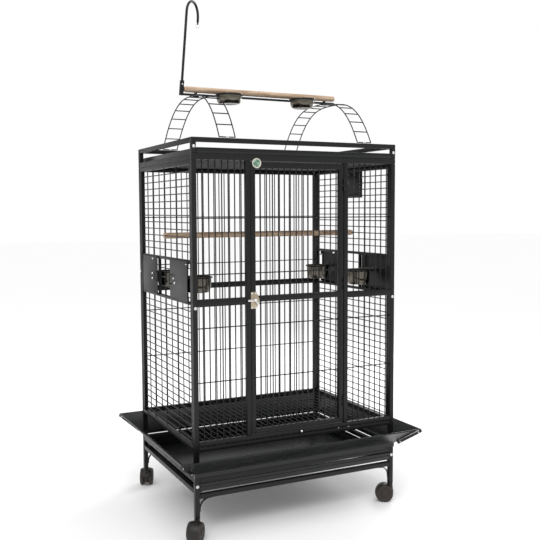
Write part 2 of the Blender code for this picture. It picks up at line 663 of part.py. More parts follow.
combine("playtop_bar", [box_mesh("bar", bar), socket, *holders, bore],
        ["UNION", "UNION", "UNION", "DIFFERENCE"], BLACK)
dowel("playtop_perch", *TOP_PERCH_X, 0, TOP_PERCH_Z, PERCH_R, 12, WOOD)
for cx, word in zip(TOP_CUPS, ("left", "right")):
    make_object(f"playtop_cup_{word}",
                cup_mesh("cup", (cx, TOP_CUP_Y), TOP_HOLDER_Z1 + GAP + 0.0020, 0.0400), STEEL,
                (cx, TOP_CUP_Y, TOP_HOLDER_Z1))

# toy hook: a rod that leans, bends over and ends in a flat eye
turned = Vector((math.cos(HOOK_TURN), math.sin(HOOK_TURN), 0))
across = (turned - LEAN * turned.dot(LEAN)).normalized()
normal = LEAN.cross(across).normalized()
sweep_angle = math.pi - math.atan2(math.sin(HOOK_LEAN) * math.cos(HOOK_TURN), math.cos(HOOK_LEAN))
path = [SOCKET + LEAN * s for s in (0.0125, 0.1500, 0.2500, HOOK_STRAIGHT)]
bend_centre = SOCKET + LEAN * HOOK_STRAIGHT + across * HOOK_BEND
steps = 14
for k in range(1, steps + 1):
    a = sweep_angle * k / steps
    path.append(bend_centre + HOOK_BEND * (-across * math.cos(a) + LEAN * math.sin(a)))
end_dir = (LEAN * math.cos(sweep_angle) + across * math.sin(sweep_angle)).normalized()
path.append(path[-1] + end_dir * HOOK_TIP)
rod = sweep_mesh("rod", path, HOOK_R, 8)
tip = path[-1]
eye = tip + end_dir * 0.0045
eye_frame = Matrix((
    (*across.xy, 0.0), (0, 0, 0), (0, 0, 0)))
ex = (across - end_dir * across.dot(end_dir)).normalized()
ey = end_dir.cross(ex).normalized()
frame = Matrix(((ex.x, ey.x, -end_dir.x, tip.x), (ex.y, ey.y, -end_dir.y, tip.y),
                (ex.z, ey.z, -end_dir.z, tip.z), (0, 0, 0, 1)))
tab = box_mesh("tab", [((-0.0040, 0.0040), (-0.0020, 0.0020), (-0.0085, 0.0030))])
tab.transform(frame)
hole = lathe_mesh("hole", [(0, -0.006), (0.0022, -0.006), (0.0022, 0.006), (0, 0.006)], 10,
                  frame @ Matrix.Translation((0, 0, -0.0045)) @ Matrix.Rotation(math.pi / 2, 4, 'X'))
for part in (tab, hole):
    bm = bmesh.new()
    bm.from_mesh(part)
    bmesh.ops.recalc_face_normals(bm, faces=bm.faces)
    bm.to_mesh(part)
    bm.free()
combine("toy_hook", [rod, tab, hole], ["UNION", "DIFFERENCE"], BLACK, SOCKET)

RING_R, RING_WIRE = 0.0085, 0.0010
ring_place = (Matrix.Translation(eye - Vector((0, 0, RING_R)))
              @ ey.cross(Vector((0, 0, 1))).to_track_quat('Z', 'Y').to_matrix().to_4x4())
loop = [(RING_R + RING_WIRE * math.cos(a), RING_WIRE * math.sin(a))
        for a in (2 * math.pi * k / 6 for k in range(6))]
make_object("hook_ring", lathe_mesh("hook_ring", loop, 16, ring_place), PLATED, eye)


# -------------------------------------------------------------------- casters
def caster_hood(name):
    """Body between the two wheels: a round cheek with an axle hole and a neck
    up to the leg. Own frame: the swivel axis is Z, the wheels trail to -X."""
    cx, cz = -WHEEL_TRAIL, WHEEL_R
    outline = []
    for k in range(13):
        a = math.radians(100 + 240 * k / 12)
        outline.append((0.0270 * math.cos(a), 0.0270 * math.sin(a)))
    top = LEG_Z0 - GAP - cz
    outline += [(WHEEL_TRAIL + 0.0100, 0.0060), (WHEEL_TRAIL + 0.0100, top),
                (WHEEL_TRAIL - 0.0100, top), (WHEEL_TRAIL - 0.0100, 0.0300)]
    n = len(outline)
    bm = bmesh.new()
    layers = []
    for y in (-0.0075, 0.0075):
        outer = [bm.verts.new((cx + x, y, cz + z)) for x, z in outline]
        inner = []
        for x, z in outline:
            a = math.atan2(z, x)
            inner.append(bm.verts.new((cx + 0.0043 * math.cos(a), y, cz + 0.0043 * math.sin(a))))
        layers.append((outer, inner))
    (o0, i0), (o1, i1) = layers
    for k in range(n):
        m = (k + 1) % n
        bm.faces.new((o0[k], o0[m], o1[m], o1[k]))
        bm.faces.new((i0[m], i0[k], i1[k], i1[m]))
        bm.faces.new((i0[k], i0[m], o0[m], o0[k]))
        bm.faces.new((o1[k], o1[m], i1[m], i1[k]))
    bmesh.ops.recalc_face_normals(bm, faces=bm.faces)
    me = bpy.data.meshes.new(name)
    bm.to_mesh(me)
    bm.free()
    return me


def wheel_pair(name):
    """Two wheels on one axle. Own frame: axle along Y through the origin."""
    r = WHEEL_R / math.cos(math.pi / WHEEL_SEGS)
    half = [(0.0, 0.0300), (0.0300, 0.0300), (r, 0.0255), (r, 0.0125), (0.0330, 0.0085),
            (0.0040, 0.0085)]
    profile = [(a, -b) for a, b in half] + [(a, b) for a, b in reversed(half)]
    return lathe_mesh(name, profile, WHEEL_SEGS,
                      Matrix.Rotation(math.pi / 2, 4, 'X'), turn=math.pi / WHEEL_SEGS)


# the turn of each caster about its stem, from wheels trailing to -X
CASTERS = {"front_left": (-1, -1, 53.0), "back_left": (-1, 1, -113.6),
           "front_right": (1, -1, -32.0), "back_right": (1, 1, -60.0)}
for word, (sx, sy, turn) in CASTERS.items():
    stem = Vector((sx * (HX - TUBE / 2), sy * (HY - TUBE / 2), 0))
    turned = Matrix.Rotation(math.radians(turn), 4, 'Z')
    hood = caster_hood("caster_" + word)
    hood.transform(Matrix.Translation(stem) @ turned)
    make_object("caster_" + word, hood, PLASTIC, (stem.x, stem.y, LEG_Z0))
    centre = stem + turned @ Vector((-WHEEL_TRAIL, 0, WHEEL_R))
    pair = wheel_pair("wheels_" + word)
    pair.transform(Matrix.Translation(centre) @ turned)
    make_object("wheels_" + word, pair, RUBBER, centre)
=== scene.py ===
"""Bird cage on a wheeled stand with a play top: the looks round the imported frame.

Units are metres, in the frame's own axes: +X right along the front, +Y to the
back, +Z up, origin on the floor.
"""
import math

import bmesh
import bpy
from mathutils import Matrix, Vector, noise


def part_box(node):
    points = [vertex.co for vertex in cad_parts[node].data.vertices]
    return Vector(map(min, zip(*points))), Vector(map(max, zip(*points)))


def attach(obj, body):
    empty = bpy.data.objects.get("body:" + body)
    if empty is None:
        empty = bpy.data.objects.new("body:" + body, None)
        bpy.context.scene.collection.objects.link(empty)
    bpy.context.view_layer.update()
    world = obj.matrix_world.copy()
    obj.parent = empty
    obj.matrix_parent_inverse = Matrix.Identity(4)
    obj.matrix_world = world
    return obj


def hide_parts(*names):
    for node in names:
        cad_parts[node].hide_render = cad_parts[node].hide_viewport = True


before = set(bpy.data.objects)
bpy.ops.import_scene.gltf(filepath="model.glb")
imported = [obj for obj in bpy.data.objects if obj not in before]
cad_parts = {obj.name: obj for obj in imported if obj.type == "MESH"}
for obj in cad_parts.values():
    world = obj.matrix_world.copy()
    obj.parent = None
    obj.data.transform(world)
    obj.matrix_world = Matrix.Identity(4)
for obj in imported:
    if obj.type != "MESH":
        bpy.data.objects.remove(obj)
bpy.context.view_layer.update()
scene = bpy.context.scene


# ------------------------------------------------------------------ materials
class Nodes:
    """A material's node tree, with short calls for the nodes used here."""

    def __init__(self, name):
        self.mat = bpy.data.materials.new(name)
        self.mat.use_nodes = True
        self.tree = self.mat.node_tree
        self.bsdf = self.tree.nodes["Principled BSDF"]
        self.coords = self.tree.nodes.new("ShaderNodeTexCoord").outputs["Object"]

    def new(self, kind, **values):
        n = self.tree.nodes.new(kind)
        for k, v in values.items():
            setattr(n, k, v)
        return n

    def link(self, a, b):
        self.tree.links.new(a, b)

    def scaled(self, xyz, rotation=(0, 0, 0)):
        n = self.new("ShaderNodeMapping")
        n.inputs["Scale"].default_value = xyz
        n.inputs["Rotation"].default_value = rotation
        self.link(self.coords, n.inputs["Vector"])
        return n.outputs["Vector"]

    def noise(self, scale, detail=2.0, rough=0.5, at=None, distortion=0.0):
        n = self.new("ShaderNodeTexNoise")
        n.inputs["Scale"].default_value = scale
        n.inputs["Detail"].default_value = detail
        n.inputs["Roughness"].default_value = rough
        n.inputs["Distortion"].default_value = distortion
        self.link(at or self.coords, n.inputs["Vector"])
        return n.outputs["Fac"]

    def voronoi(self, scale, at=None, feature='F1'):
        n = self.new("ShaderNodeTexVoronoi", feature=feature)
        n.inputs["Scale"].default_value = scale
        self.link(at or self.coords, n.inputs["Vector"])
        return n.outputs["Distance"]

    def ramp(self, fac, stops, kind='LINEAR'):
        n = self.new("ShaderNodeValToRGB")
        n.color_ramp.interpolation = kind
        els = n.color_ramp.elements
        while len(els) < len(stops):
            els.new(0.5)
        for e, (pos, col) in zip(els, stops):
            e.position = pos
            e.color = (*col, 1.0) if len(col) == 3 else col
        self.link(fac, n.inputs["Fac"])
        return n.outputs["Color"]

    def span(self, fac, low, high, a=0.0, b=1.0):
        n = self.new("ShaderNodeMapRange")
        for k, v in (("From Min", a), ("From Max", b), ("To Min", low), ("To Max", high)):
            n.inputs[k].default_value = v
        self.link(fac, n.inputs["Value"])
        return n.outputs["Result"]

    def mix(self, fac, a, b, blend='MIX'):
        n = self.new("ShaderNodeMix", data_type='RGBA', blend_type=blend)
        for sock, val in ((n.inputs[0], fac), (n.inputs[6], a), (n.inputs[7], b)):
            if isinstance(val, bpy.types.NodeSocket):
                self.link(val, sock)
            elif isinstance(val, (int, float)):
                sock.default_value = val
            else:
                sock.default_value = (*val, 1.0)
        return n.outputs[2]

    def math(self, op, a, b=0.0):
        n = self.new("ShaderNodeMath", operation=op)
        for sock, val in zip(n.inputs, (a, b)):
            if isinstance(val, bpy.types.NodeSocket):
                self.link(val, sock)
            else:
                sock.default_value = val
        return n.outputs[0]

    def bump(self, height, strength, distance, after=None):
        n = self.new("ShaderNodeBump")
        n.inputs["Strength"].default_value = strength
        n.inputs["Distance"].default_value = distance
        self.link(height, n.inputs["Height"])
        if after is not None:
            self.link(after, n.inputs["Normal"])
        return n.outputs["Normal"]

    def out(self, **sockets):
        for k, v in sockets.items():
            sock = self.bsdf.inputs[k.replace("_", " ")]
            if isinstance(v, bpy.types.NodeSocket):
                self.link(v, sock)
            else:
                sock.default_value = v
        return self.mat


def powder_coat(name, dark, light, rough, specular):
    """Sprayed powder coat: fine pimples, a slow variation in gloss, and a scatter of painted glints: lighter specks in
    the colour where the grain would catch the light."""
    m = Nodes(name)
    slow = m.noise(6.0, 3.0)
    grain = m.noise(1500.0, 2.0, 0.6)
    glint_cells = m.voronoi(900.0)
    base = m.mix(slow, dark, light)
    # lighter specks mixed into the colour: painted glints where the grain would catch the light
    painted_glints = m.span(glint_cells, 1.0, 0.0, 0.05, 0.22)
    colour = m.mix(m.math('MULTIPLY', painted_glints, 0.30), base, tuple(min(1, 3.2 * c) for c in light))
    wear = m.noise(38.0, 4.0, 0.6)
    roughness = m.math('ADD', m.span(wear, rough - 0.06, rough + 0.08, 0.3, 0.7),
                       m.span(grain, -0.03, 0.03))
    bump = m.bump(grain, 0.30, 0.0003)
    bump = m.bump(m.noise(420.0, 1.0), 0.12, 0.0004, bump)
    return m.out(Base_Color=colour, Roughness=roughness, Normal=bump, Specular_IOR_Level=specular)


def sheet_paint(name, dark, light, rough, specular):
    """Smoother paint on pressed sheet: faint orange peel and rubbed patches."""
    m = Nodes(name)
    slow = m.noise(3.0, 3.0, 0.55)
    peel = m.noise(320.0, 2.0, 0.5)
    rub = m.noise(5.0, 2.0, 0.5, m.scaled((1.0, 1.0, 2.5)))
    colour = m.mix(slow, dark, light)
    roughness = m.span(rub, rough - 0.03, rough + 0.05, 0.3, 0.72)
    bump = m.bump(peel, 0.10, 0.0003)
    return m.out(Base_Color=colour, Roughness=roughness, Normal=bump, Specular_IOR_Level=specular)


def stainless(name, dark, light, rough):
    """Spun steel: rings of fine turning marks and a few soft smears."""
    m = Nodes(name)
    marks = m.noise(220.0, 4.0, 0.6, m.scaled((0.35, 0.35, 14.0)))
    smear = m.noise(26.0, 3.0, 0.5)
    colour = m.mix(smear, dark, light)
    roughness = m.math('ADD', m.span(marks, rough - 0.05, rough + 0.07, 0.3, 0.7),
                       m.span(smear, -0.02, 0.05))
    bump = m.bump(marks, 0.10, 0.0002)
    return m.out(Base_Color=colour, Roughness=roughness, Normal=bump, Metallic=1.0)


def plated(name, dark, light, rough):
    """Bright zinc plate: mottled crystals and slight dulling."""
    m = Nodes(name)
    spangle = m.voronoi(420.0)
    dull = m.noise(60.0, 4.0, 0.6)
    colour = m.mix(dull, dark, light)
    roughness = m.math('ADD', m.span(dull, rough - 0.05, rough + 0.10, 0.3, 0.7),
                       m.span(spangle, -0.03, 0.03))
    bump = m.bump(dull, 0.08, 0.0003)
    return m.out(Base_Color=colour, Roughness=roughness, Normal=bump, Metallic=1.0)


def wood(name):
    """Bare, sanded dowel: grain along X, darker flecks and a rough nap."""
    m = Nodes(name)
    grain = m.noise(90.0, 6.0, 0.65, m.scaled((0.10, 1.0, 1.0)), 0.6)
    bands = m.noise(22.0, 3.0, 0.5, m.scaled((0.25, 1.0, 1.0)))
    fleck = m.voronoi(260.0, m.scaled((0.22, 1.0, 1.0)))
    colour = m.ramp(grain, [(0.28, (0.26, 0.165, 0.10)), (0.46, (0.45, 0.32, 0.215)),
                            (0.60, (0.60, 0.455, 0.335)), (0.78, (0.68, 0.55, 0.43))])
    colour = m.mix(m.span(bands, 0.0, 0.35, 0.40, 0.75), colour, (0.34, 0.22, 0.14))
    colour = m.mix(m.span(fleck, 0.55, 0.0, 0.03, 0.20), colour, (0.20, 0.125, 0.08))
    roughness = m.span(grain, 0.78, 0.60)
    bump = m.bump(grain, 0.55, 0.0008)
    bump = m.bump(fleck, 0.25, 0.0005, bump)
    return m.out(Base_Color=colour, Roughness=roughness, Normal=bump, Specular_IOR_Level=0.3)


def caster_plastic(name, dark, light, rough, dust):
    """Moulded plastic or hard rubber with fine texture and floor dust."""
    m = Nodes(name)
    grain = m.noise(1100.0, 2.0, 0.6)
    slow = m.noise(24.0, 3.0, 0.6)
    settled = m.noise(70.0, 5.0, 0.7)
    colour = m.mix(slow, dark, light)
    colour = m.mix(m.span(settled, 0.0, 0.55, 0.50, 0.78), colour, dust)
    roughness = m.span(settled, rough - 0.06, rough + 0.15, 0.3, 0.7)
    bump = m.bump(grain, 0.25, 0.0003)
    return m.out(Base_Color=colour, Roughness=roughness, Normal=bump, Specular_IOR_Level=0.35)


def enamel(name, dark, light, scale, rough):
    m = Nodes(name)
    cloud = m.noise(scale, 3.0, 0.6)
    fine = m.noise(700.0, 2.0)
    colour = m.mix(m.span(cloud, 0.0, 1.0, 0.35, 0.65), dark, light)
    roughness = m.span(fine, rough - 0.04, rough + 0.06)
    bump = m.bump(fine, 0.06, 0.0002)
    return m.out(Base_Color=colour, Roughness=roughness, Normal=bump)


COAT = powder_coat("powder_coat", (0.0048, 0.0052, 0.0048), (0.0092, 0.0097, 0.0090), 0.40, 0.30)
WIRE_COAT = powder_coat("wire_coat", (0.0045, 0.0050, 0.0048), (0.0080, 0.0085, 0.0082), 0.38, 0.28)
SHEET = sheet_paint("sheet_coat", (0.0048, 0.0054, 0.0060), (0.0075, 0.0083, 0.0090), 0.24, 0.40)
FACE = sheet_paint("door_sheet_coat", (0.0042, 0.0046, 0.0044), (0.0070, 0.0075, 0.0070), 0.40, 0.25)
# steel tones set far darker and warmer than bare steel: a painted dark, warm reflection of the cups' surroundings
STEEL = stainless("spun_steel", (0.090, 0.080, 0.065), (0.22, 0.20, 0.17), 0.17)
ZINC = plated("zinc_plate", (0.62, 0.62, 0.61), (0.85, 0.85, 0.84), 0.26)
BRASS = plated("dull_brass_plate", (0.36, 0.29, 0.20), (0.56, 0.47, 0.36), 0.34)
WOOD = wood("bare_wood")
TREAD = caster_plastic("caster_tread", (0.022, 0.017, 0.014), (0.040, 0.031, 0.026), 0.48, (0.075, 0.062, 0.052))
HOOD = caster_plastic("caster_hood", (0.011, 0.010, 0.0095), (0.019, 0.017, 0.016), 0.42, (0.040, 0.036, 0.032))
PLUG = caster_plastic("tube_plug", (0.009, 0.009, 0.009), (0.016, 0.016, 0.016), 0.50, (0.025, 0.024, 0.023))
BADGE_RIM = enamel("badge_rim", (0.55, 0.50, 0.42), (0.72, 0.68, 0.60), 120.0, 0.30)
BADGE_FACE = enamel("badge_face", (0.030, 0.135, 0.075), (0.30, 0.42, 0.33), 95.0, 0.28)


# ---------------------------------------------------------------- mesh making
class Mesh:
    """Collects closed shapes for one piece, each with a material number."""

    def __init__(self):
        self.verts, self.faces, self.mats = [], [], []

    def add(self, verts, faces, mat=0):
        n = len(self.verts)
        self.verts += [tuple(v) for v in verts]
        self.faces += [[n + i for i in f] for f in faces]
        self.mats += [mat] * len(faces)
        return self

    def add_bm(self, bm, mat=0):
        bm.verts.index_update()
        self.add([v.co.copy() for v in bm.verts], [[v.index for v in f.verts] for f in bm.faces], mat)
        bm.free()
        return self

    def box(self, xs, ys, zs, r=0.0018, seg=2, mat=0, place=None):
        """Box with rounded edges."""
        lo = Vector((min(xs), min(ys), min(zs)))
        hi = Vector((max(xs), max(ys), max(zs)))
        size, mid = hi - lo, (lo + hi) / 2
        bm = bmesh.new()
        bmesh.ops.create_cube(bm, size=1.0)
        for v in bm.verts:
            v.co = Vector((v.co.x * size.x, v.co.y * size.y, v.co.z * size.z)) + mid
        r = min(r, 0.45 * min(size))
        if r > 0:
            bmesh.ops.bevel(bm, geom=list(bm.edges), offset=r, segments=seg, profile=0.5,
                            affect='EDGES')
        if place is not None:
            bmesh.ops.transform(bm, matrix=place, verts=bm.verts)
        return self.add_bm(bm, mat)

    def rod(self, a, b, r, sides=8, mat=0):
        return self.path([a, b], r, sides, mat)

    def path(self, points, r, sides=8, mat=0, closed=False):
        """Round wire along points. r is a number or one per point."""
        pts = [Vector(p) for p in points]
        n = len(pts)
        radii = r if isinstance(r, (list, tuple)) else [r] * n
        verts, faces = [], []
        first = (pts[1] - pts[0]).normalized()
        side = first.orthogonal().normalized()
        for i, p in enumerate(pts):
            if closed:
                t = (pts[(i + 1) % n] - pts[i - 1]).normalized()
            elif i == 0:
                t = first
            elif i == n - 1:
                t = (pts[-1] - pts[-2]).normalized()
            else:
                t = ((pts[i + 1] - p).normalized() + (p - pts[i - 1]).normalized()).normalized()
            side = (side - t * side.dot(t)).normalized()
            up = t.cross(side)
            for k in range(sides):
                a = 2 * math.pi * k / sides
                verts.append(p + radii[i] * (math.cos(a) * side + math.sin(a) * up))
        for i in range(n if closed else n - 1):
            a, b = i * sides, ((i + 1) % n) * sides
            for k in range(sides):
                m = (k + 1) % sides
                faces.append([a + k, a + m, b + m, b + k])
        if not closed:
            faces.append(list(reversed(range(sides))))
            faces.append(list(range((n - 1) * sides, n * sides)))
        return self.add(verts, faces, mat)

    def lathe(self, profile, place, segs=24, mat=0, closed=False):
        """Turned shape from (radius, height) pairs, radius 0 at both ends, or
        a closed ring of them."""
        verts, faces, rows = [], [], []
        for rad, h in profile:
            if rad < 1e-7:
                rows.append([len(verts)])
                verts.append(place @ Vector((0, 0, h)))
            else:
                rows.append([len(verts) + k for k in range(segs)])
                verts += [place @ Vector((rad * math.cos(2 * math.pi * k / segs),
                                          rad * math.sin(2 * math.pi * k / segs), h))
                          for k in range(segs)]
        pairs = list(zip(rows, rows[1:]))
        if closed:
            pairs.append((rows[-1], rows[0]))
        for a, b in pairs:
            for k in range(segs):
                m = (k + 1) % segs
                q = [a[k % len(a)], a[m % len(a)], b[m % len(b)], b[k % len(b)]]
                q = [v for i, v in enumerate(q) if v not in q[:i]]
                if len(q) > 2:
                    faces.append(q)
        return self.add(verts, faces, mat)

    def prism(self, outline, place, t0, t1, r=0.0, mat=0):
        """Flat outline (x, y) given a thickness t0..t1 along its own Z."""
        bm = bmesh.new()
        low = [bm.verts.new((x, y, t0)) for x, y in outline]
        face = bm.faces.new(low)
        got = bmesh.ops.extrude_face_region(bm, geom=[face])
        for v in got["geom"]:
            if isinstance(v, bmesh.types.BMVert):
                v.co.z = t1
        bmesh.ops.recalc_face_normals(bm, faces=bm.faces)
        if r > 0:
            rim = [e for e in bm.edges if abs(e.verts[0].co.z - e.verts[1].co.z) < 1e-7]
            bmesh.ops.bevel(bm, geom=rim, offset=r, segments=2, profile=0.5, affect='EDGES')
        bmesh.ops.transform(bm, matrix=place, verts=bm.verts)
        return self.add_bm(bm, mat)

    def bolt(self, at, axis, r=0.0052, h=0.0034, mat=0, washer=True):
        """Domed bolt head on a washer, its axis pointing out of the face."""
        place = Matrix.Translation(at) @ Vector(axis).to_track_quat('Z', 'Y').to_matrix().to_4x4()
        prof = [(0, h), (r * 0.45, h * 0.97), (r * 0.78, h * 0.78), (r * 0.96, h * 0.42),
                (r, 0.0007), (r, -0.0004), (0, -0.0004)]
        self.lathe(prof, place, 16, mat)
        if washer:
            w = r * 1.32
            self.lathe([(0, 0.0009), (w * 0.96, 0.0009), (w, 0.0006), (w, -0.0003), (0, -0.0003)],
                       place, 20, mat)
        return self


def piece(name, mesh, materials, body, replaces=(), sharp=35):
    me = bpy.data.meshes.new(name)
    me.from_pydata(mesh.verts, [], mesh.faces)
    me.polygons.foreach_set("material_index", mesh.mats)
    bm = bmesh.new()
    bm.from_mesh(me)
    bmesh.ops.recalc_face_normals(bm, faces=bm.faces)
    bm.to_mesh(me)
    bm.free()
    me.shade_smooth()
    me.set_sharp_from_angle(angle=math.radians(sharp))
    for m in materials:
        me.materials.append(m)
    ob = bpy.data.objects.new(name, me)
    scene.collection.objects.link(ob)
    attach(ob, body)
    if replaces:
        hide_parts(*replaces)
    return ob


def along(node, axis):
    lo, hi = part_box(node)
    return lo[axis], hi[axis]


# ------------------------------------------------- sizes: some read from the frame, the rest given
POST_LO, POST_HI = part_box("post_front_left")
TUBE = POST_HI.x - POST_LO.x
HX, HY = -POST_LO.x, -POST_LO.y
XI, YI = HX - TUBE, HY - TUBE
POST_Z = (POST_LO.z, POST_HI.z)
GAP = 0.0003
FRONT, BACK = (-HY, -YI), (YI, HY)
YF, YB = -HY + TUBE / 2, HY - TUBE / 2
BAR_R, CROSS_R = 0.0024, 0.0022
LEG_Z0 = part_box("stand_left_frame")[0].z
RAIL = (0.1570, 0.1760)
URAIL = along("stand_front_upper_rail", 2)
SILL = along("base_front_rail", 2)
BASE = (0.3450, 0.3640)
HEAD = (1.4375, POST_Z[1])
MID = (0.9020, 0.9270)
TOP = along("roof_frame", 2)
FEED = along("left_panel_center", 2)
SRAIL = (0.1765, 0.1955)
STILE_L, STILE_R = (-0.2360, -0.2170), (0.2060, 0.2250)
DOOR_LO, DOOR_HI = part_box("door_panel")
CROSS_Z = (0.6050, 0.8150, 1.0200, 1.2350)


def side_x(side, d0, d1):
    return tuple(sorted((side * (HX - d0), side * (HX - d1))))


def row(first, pitch, count):
    return [first + pitch * k for k in range(count)]


BARS_LEFT, BARS_RIGHT = row(-0.4135, 0.0268, 7), row(0.2562, 0.02705, 7)
BARS_DOOR, BARS_BACK = row(-0.17045, 0.02635, 14), row(-0.4177, 0.02655, 33)


# ---------------------------------------------------------------------- stand
for side, word in ((-1, "left"), (1, "right")):
    m = Mesh()
    tube = side_x(side, 0, TUBE)
    for ys in (FRONT, BACK):
        m.box(tube, ys, (LEG_Z0 + 0.0030, POST_Z[0] - GAP), 0.0022, 3)
    m.box(tube, (-YI - 0.0004, YI + 0.0004), SRAIL, 0.0020, 3)
    m.box(tube, (-YI - 0.0004, YI + 0.0004), URAIL, 0.0020, 3)
    m.box(side_x(side, TUBE - 0.002, TUBE + 0.010), (-HY + 0.002, HY - 0.002), (0.1830, 0.1862),
          0.0006, 1)
    # weld beads round the rail ends
    for z0, z1 in (SRAIL, URAIL):
        for end in (-1, 1):
            y = end * YI
            for z in (z0 + 0.0004, z1 - 0.0004):
                xs = side_x(side, 0.0025, TUBE - 0.0025)
                m.rod((xs[0], y, z), (xs[1], y, z), 0.0014, 6)
    piece(f"stand_side_{word}", m, [COAT], "cage", [f"stand_{word}_frame"])
    m = Mesh()
    for ys in (FRONT, BACK):
        inner_x = (tube[0] + 0.0006, tube[1] - 0.0006)
        inner_y = (ys[0] + 0.0006, ys[1] - 0.0006)
        m.box(inner_x, inner_y, (LEG_Z0 + 0.0002, LEG_Z0 + 0.0034), 0.0012, 2)
        cx, cy = sum(tube) / 2, sum(ys) / 2
        m.lathe([(0, 0.0012), (0.0072, 0.0012), (0.0078, 0.0006), (0.0078, 0.0), (0, 0.0)],
                Matrix.Translation((cx, cy, LEG_Z0)), 20)
    piece(f"leg_plugs_{word}", m, [PLUG], "cage")


def brace(m, side, y):
    """Flat strip bent to a quarter circle under the lower rail, with a short
    straight foot against the leg."""
    segs, r0, r1 = 18, 0.0392, 0.0428
    cx, cz = side * (XI - 0.0435), RAIL[0] - 0.0420
    half = 0.0045
    verts, faces = [], []
    pts = []
    for k in range(segs + 1):
        a = math.pi / 2 * k / segs
        pts.append((math.cos(a), math.sin(a), 0.0))
    rows = [(r0, -half), (r1, -half), (r1, half), (r0, half)]
    line = [(1.0, 0.0, -0.0080)] + pts + [(0.0, 1.0, 0.0)]
    for k, (c, s, drop) in enumerate(line):
        for r, h in rows:
            shift = -0.0080 if k == len(line) - 1 else 0.0
            verts.append((cx + side * (r * c + shift), y + h, cz + r * s + drop))
    n = len(line)
    for k in range(n - 1):
        for j in range(4):
            i = (j + 1) % 4
            faces.append([4 * k + j, 4 * k + i, 4 * k + 4 + i, 4 * k + 4 + j])
    faces.append([0, 1, 2, 3])
    faces.append([4 * (n - 1) + j for j in range(4)])
    m.add(verts, faces)


for word, ys in (("front", FRONT), ("back", BACK)):
    y = sum(ys) / 2
    m = Mesh()
    m.box((-XI + GAP, XI - GAP), ys, RAIL, 0.0020, 3)
    brace(m, -1, y)
    brace(m, 1, y)
    piece(f"stand_rail_{word}", m, [COAT], "cage", [f"stand_{word}_rail"])
    m = Mesh()
    m.box((-XI + GAP, XI - GAP), ys, URAIL, 0.0020, 3)
    piece(f"stand_upper_rail_{word}", m, [COAT], "cage", [f"stand_{word}_upper_rail"])


# ---------------------------------------------------------------- seed guards
def filleted(points, radii, steps=5):
    """Bent line with an arc at each inner point."""
    pts = [Vector(p) for p in points]
    out = [pts[0]]
    for i in range(1, len(pts) - 1):
        a, b, c = pts[i - 1], pts[i], pts[i + 1]
        d0, d1 = (b - a).normalized(), (c - b).normalized()
        turn = d0.angle(d1)
        cut = min(radii[i - 1] * math.tan(turn / 2), (b - a).length * 0.45, (c - b).length * 0.45)
        p0, p1 = b - d0 * cut, b + d1 * cut
        for k in range(steps + 1):
            t = k / steps
            out.append((1 - t) ** 2 * p0 + 2 * t * (1 - t) * b + t * t * p1)
    out.append(pts[-1])
    return out


def thick_line(line, t):
    left, right = [], []
    for i, p in enumerate(line):
        a = line[max(i - 1, 0)]
        b = line[min(i + 1, len(line) - 1)]
        d = (b - a).normalized()
        n = Vector((-d.y, d.x))
        left.append(p + n * t / 2)
        right.append(p - n * t / 2)
    return left + list(reversed(right))


GUARD = thick_line(filleted(
    [(0.0013, 0.2410), (0.0013, 0.2570), (0.0080, 0.2632), (0.0840, 0.3294), (0.0844, 0.3246)],
    [0.004, 0.006, 0.0022]), 0.0014)
GUARD_RISE = (0.3294 - 0.2632) / (0.0840 - 0.0080)


def guard(name, node, axis, half, out, sign):
    base = HY if out == 1 else HX
    m = Mesh()
    verts, faces = [], []
    n = len(GUARD)
    for end in (-1, 1):
        for o, z in GUARD:
            p = [0.0, 0.0, z]
            p[axis] = end * (half + o - GAP)
            p[out] = sign * (base + o)
            verts.append(p)
    for k in range(n):
        j = (k + 1) % n
        faces.append([k, j, n + j, n + k])
    h = n // 2
    # the end caps as strips, since the outline is bent
    for k in range(h - 1):
        a, b, c, d = k, k + 1, n - 2 - k, n - 1 - k
        faces.append([a, b, c, d])
        faces.append([n + d, n + c, n + b, n + a])
    m.add(verts, faces)
    # rolled hem along the outer edge
    ends = []
    for end in (-1, 1):
        p = [0.0, 0.0, 0.3272]
        p[axis] = end * (half + 0.0822 - 0.0012)
        p[out] = sign * (base + 0.0822)
        ends.append(p)
    m.rod(ends[0], ends[1], 0.0024, 12)
    piece(name, m, [SHEET], "cage", [node], sharp=50)


guard("guard_front", "seed_guard_front", 0, HX, 1, -1)
guard("guard_back", "seed_guard_back", 0, HX, 1, 1)
guard("guard_left", "seed_guard_left", 1, HY, 0, -1)
guard("guard_right", "seed_guard_right", 1, HY, 0, 1)

# upright fin under each mitre, bolted near both ends
fins, fixings = Mesh(), Mesh()
for sx in (-1, 1):
    for sy in (-1, 1):
        o0, o1, deep = 0.0100, 0.0836, 0.0125
        low = Vector((o0 * math.sqrt(2), 0.2632 + (o0 - 0.0080) * GUARD_RISE - 0.0010))
        high = Vector((o1 * math.sqrt(2), 0.2632 + (o1 - 0.0080) * GUARD_RISE - 0.0010))
        run = (high - low).normalized()
        drop = Vector((run.y, -run.x)) * deep
        shape = filleted([low, low + drop, high + drop, high + Vector((0.0, -0.0016))],
                         [0.0075, 0.0080], 6)
        diag = Vector((sx, sy, 0)).normalized()
        across = Vector((0, 0, 1)).cross(diag)
        # own X along the mitre, own Y up, own Z through the fin
        place = Matrix(((diag.x, 0, -across.x, sx * HX), (diag.y, 0, -across.y, sy * HY),
                        (0, 1, 0, 0), (0, 0, 0, 1)))
        fins.prism([(p.x, p.y) for p in shape], place, -0.0012, 0.0012, 0.0004)
        for t in (0.13, 0.87):
            c = low.lerp(high, t) + drop * 0.56
            for face in (-1, 1):
                fixings.bolt(place @ Vector((c.x, c.y, face * 0.0012)), -face * across, 0.0034, 0.0022,
                             washer=False)
piece("guard_corner_fins", fins, [SHEET], "cage")
piece("guard_corner_bolts", fixings, [ZINC], "cage")

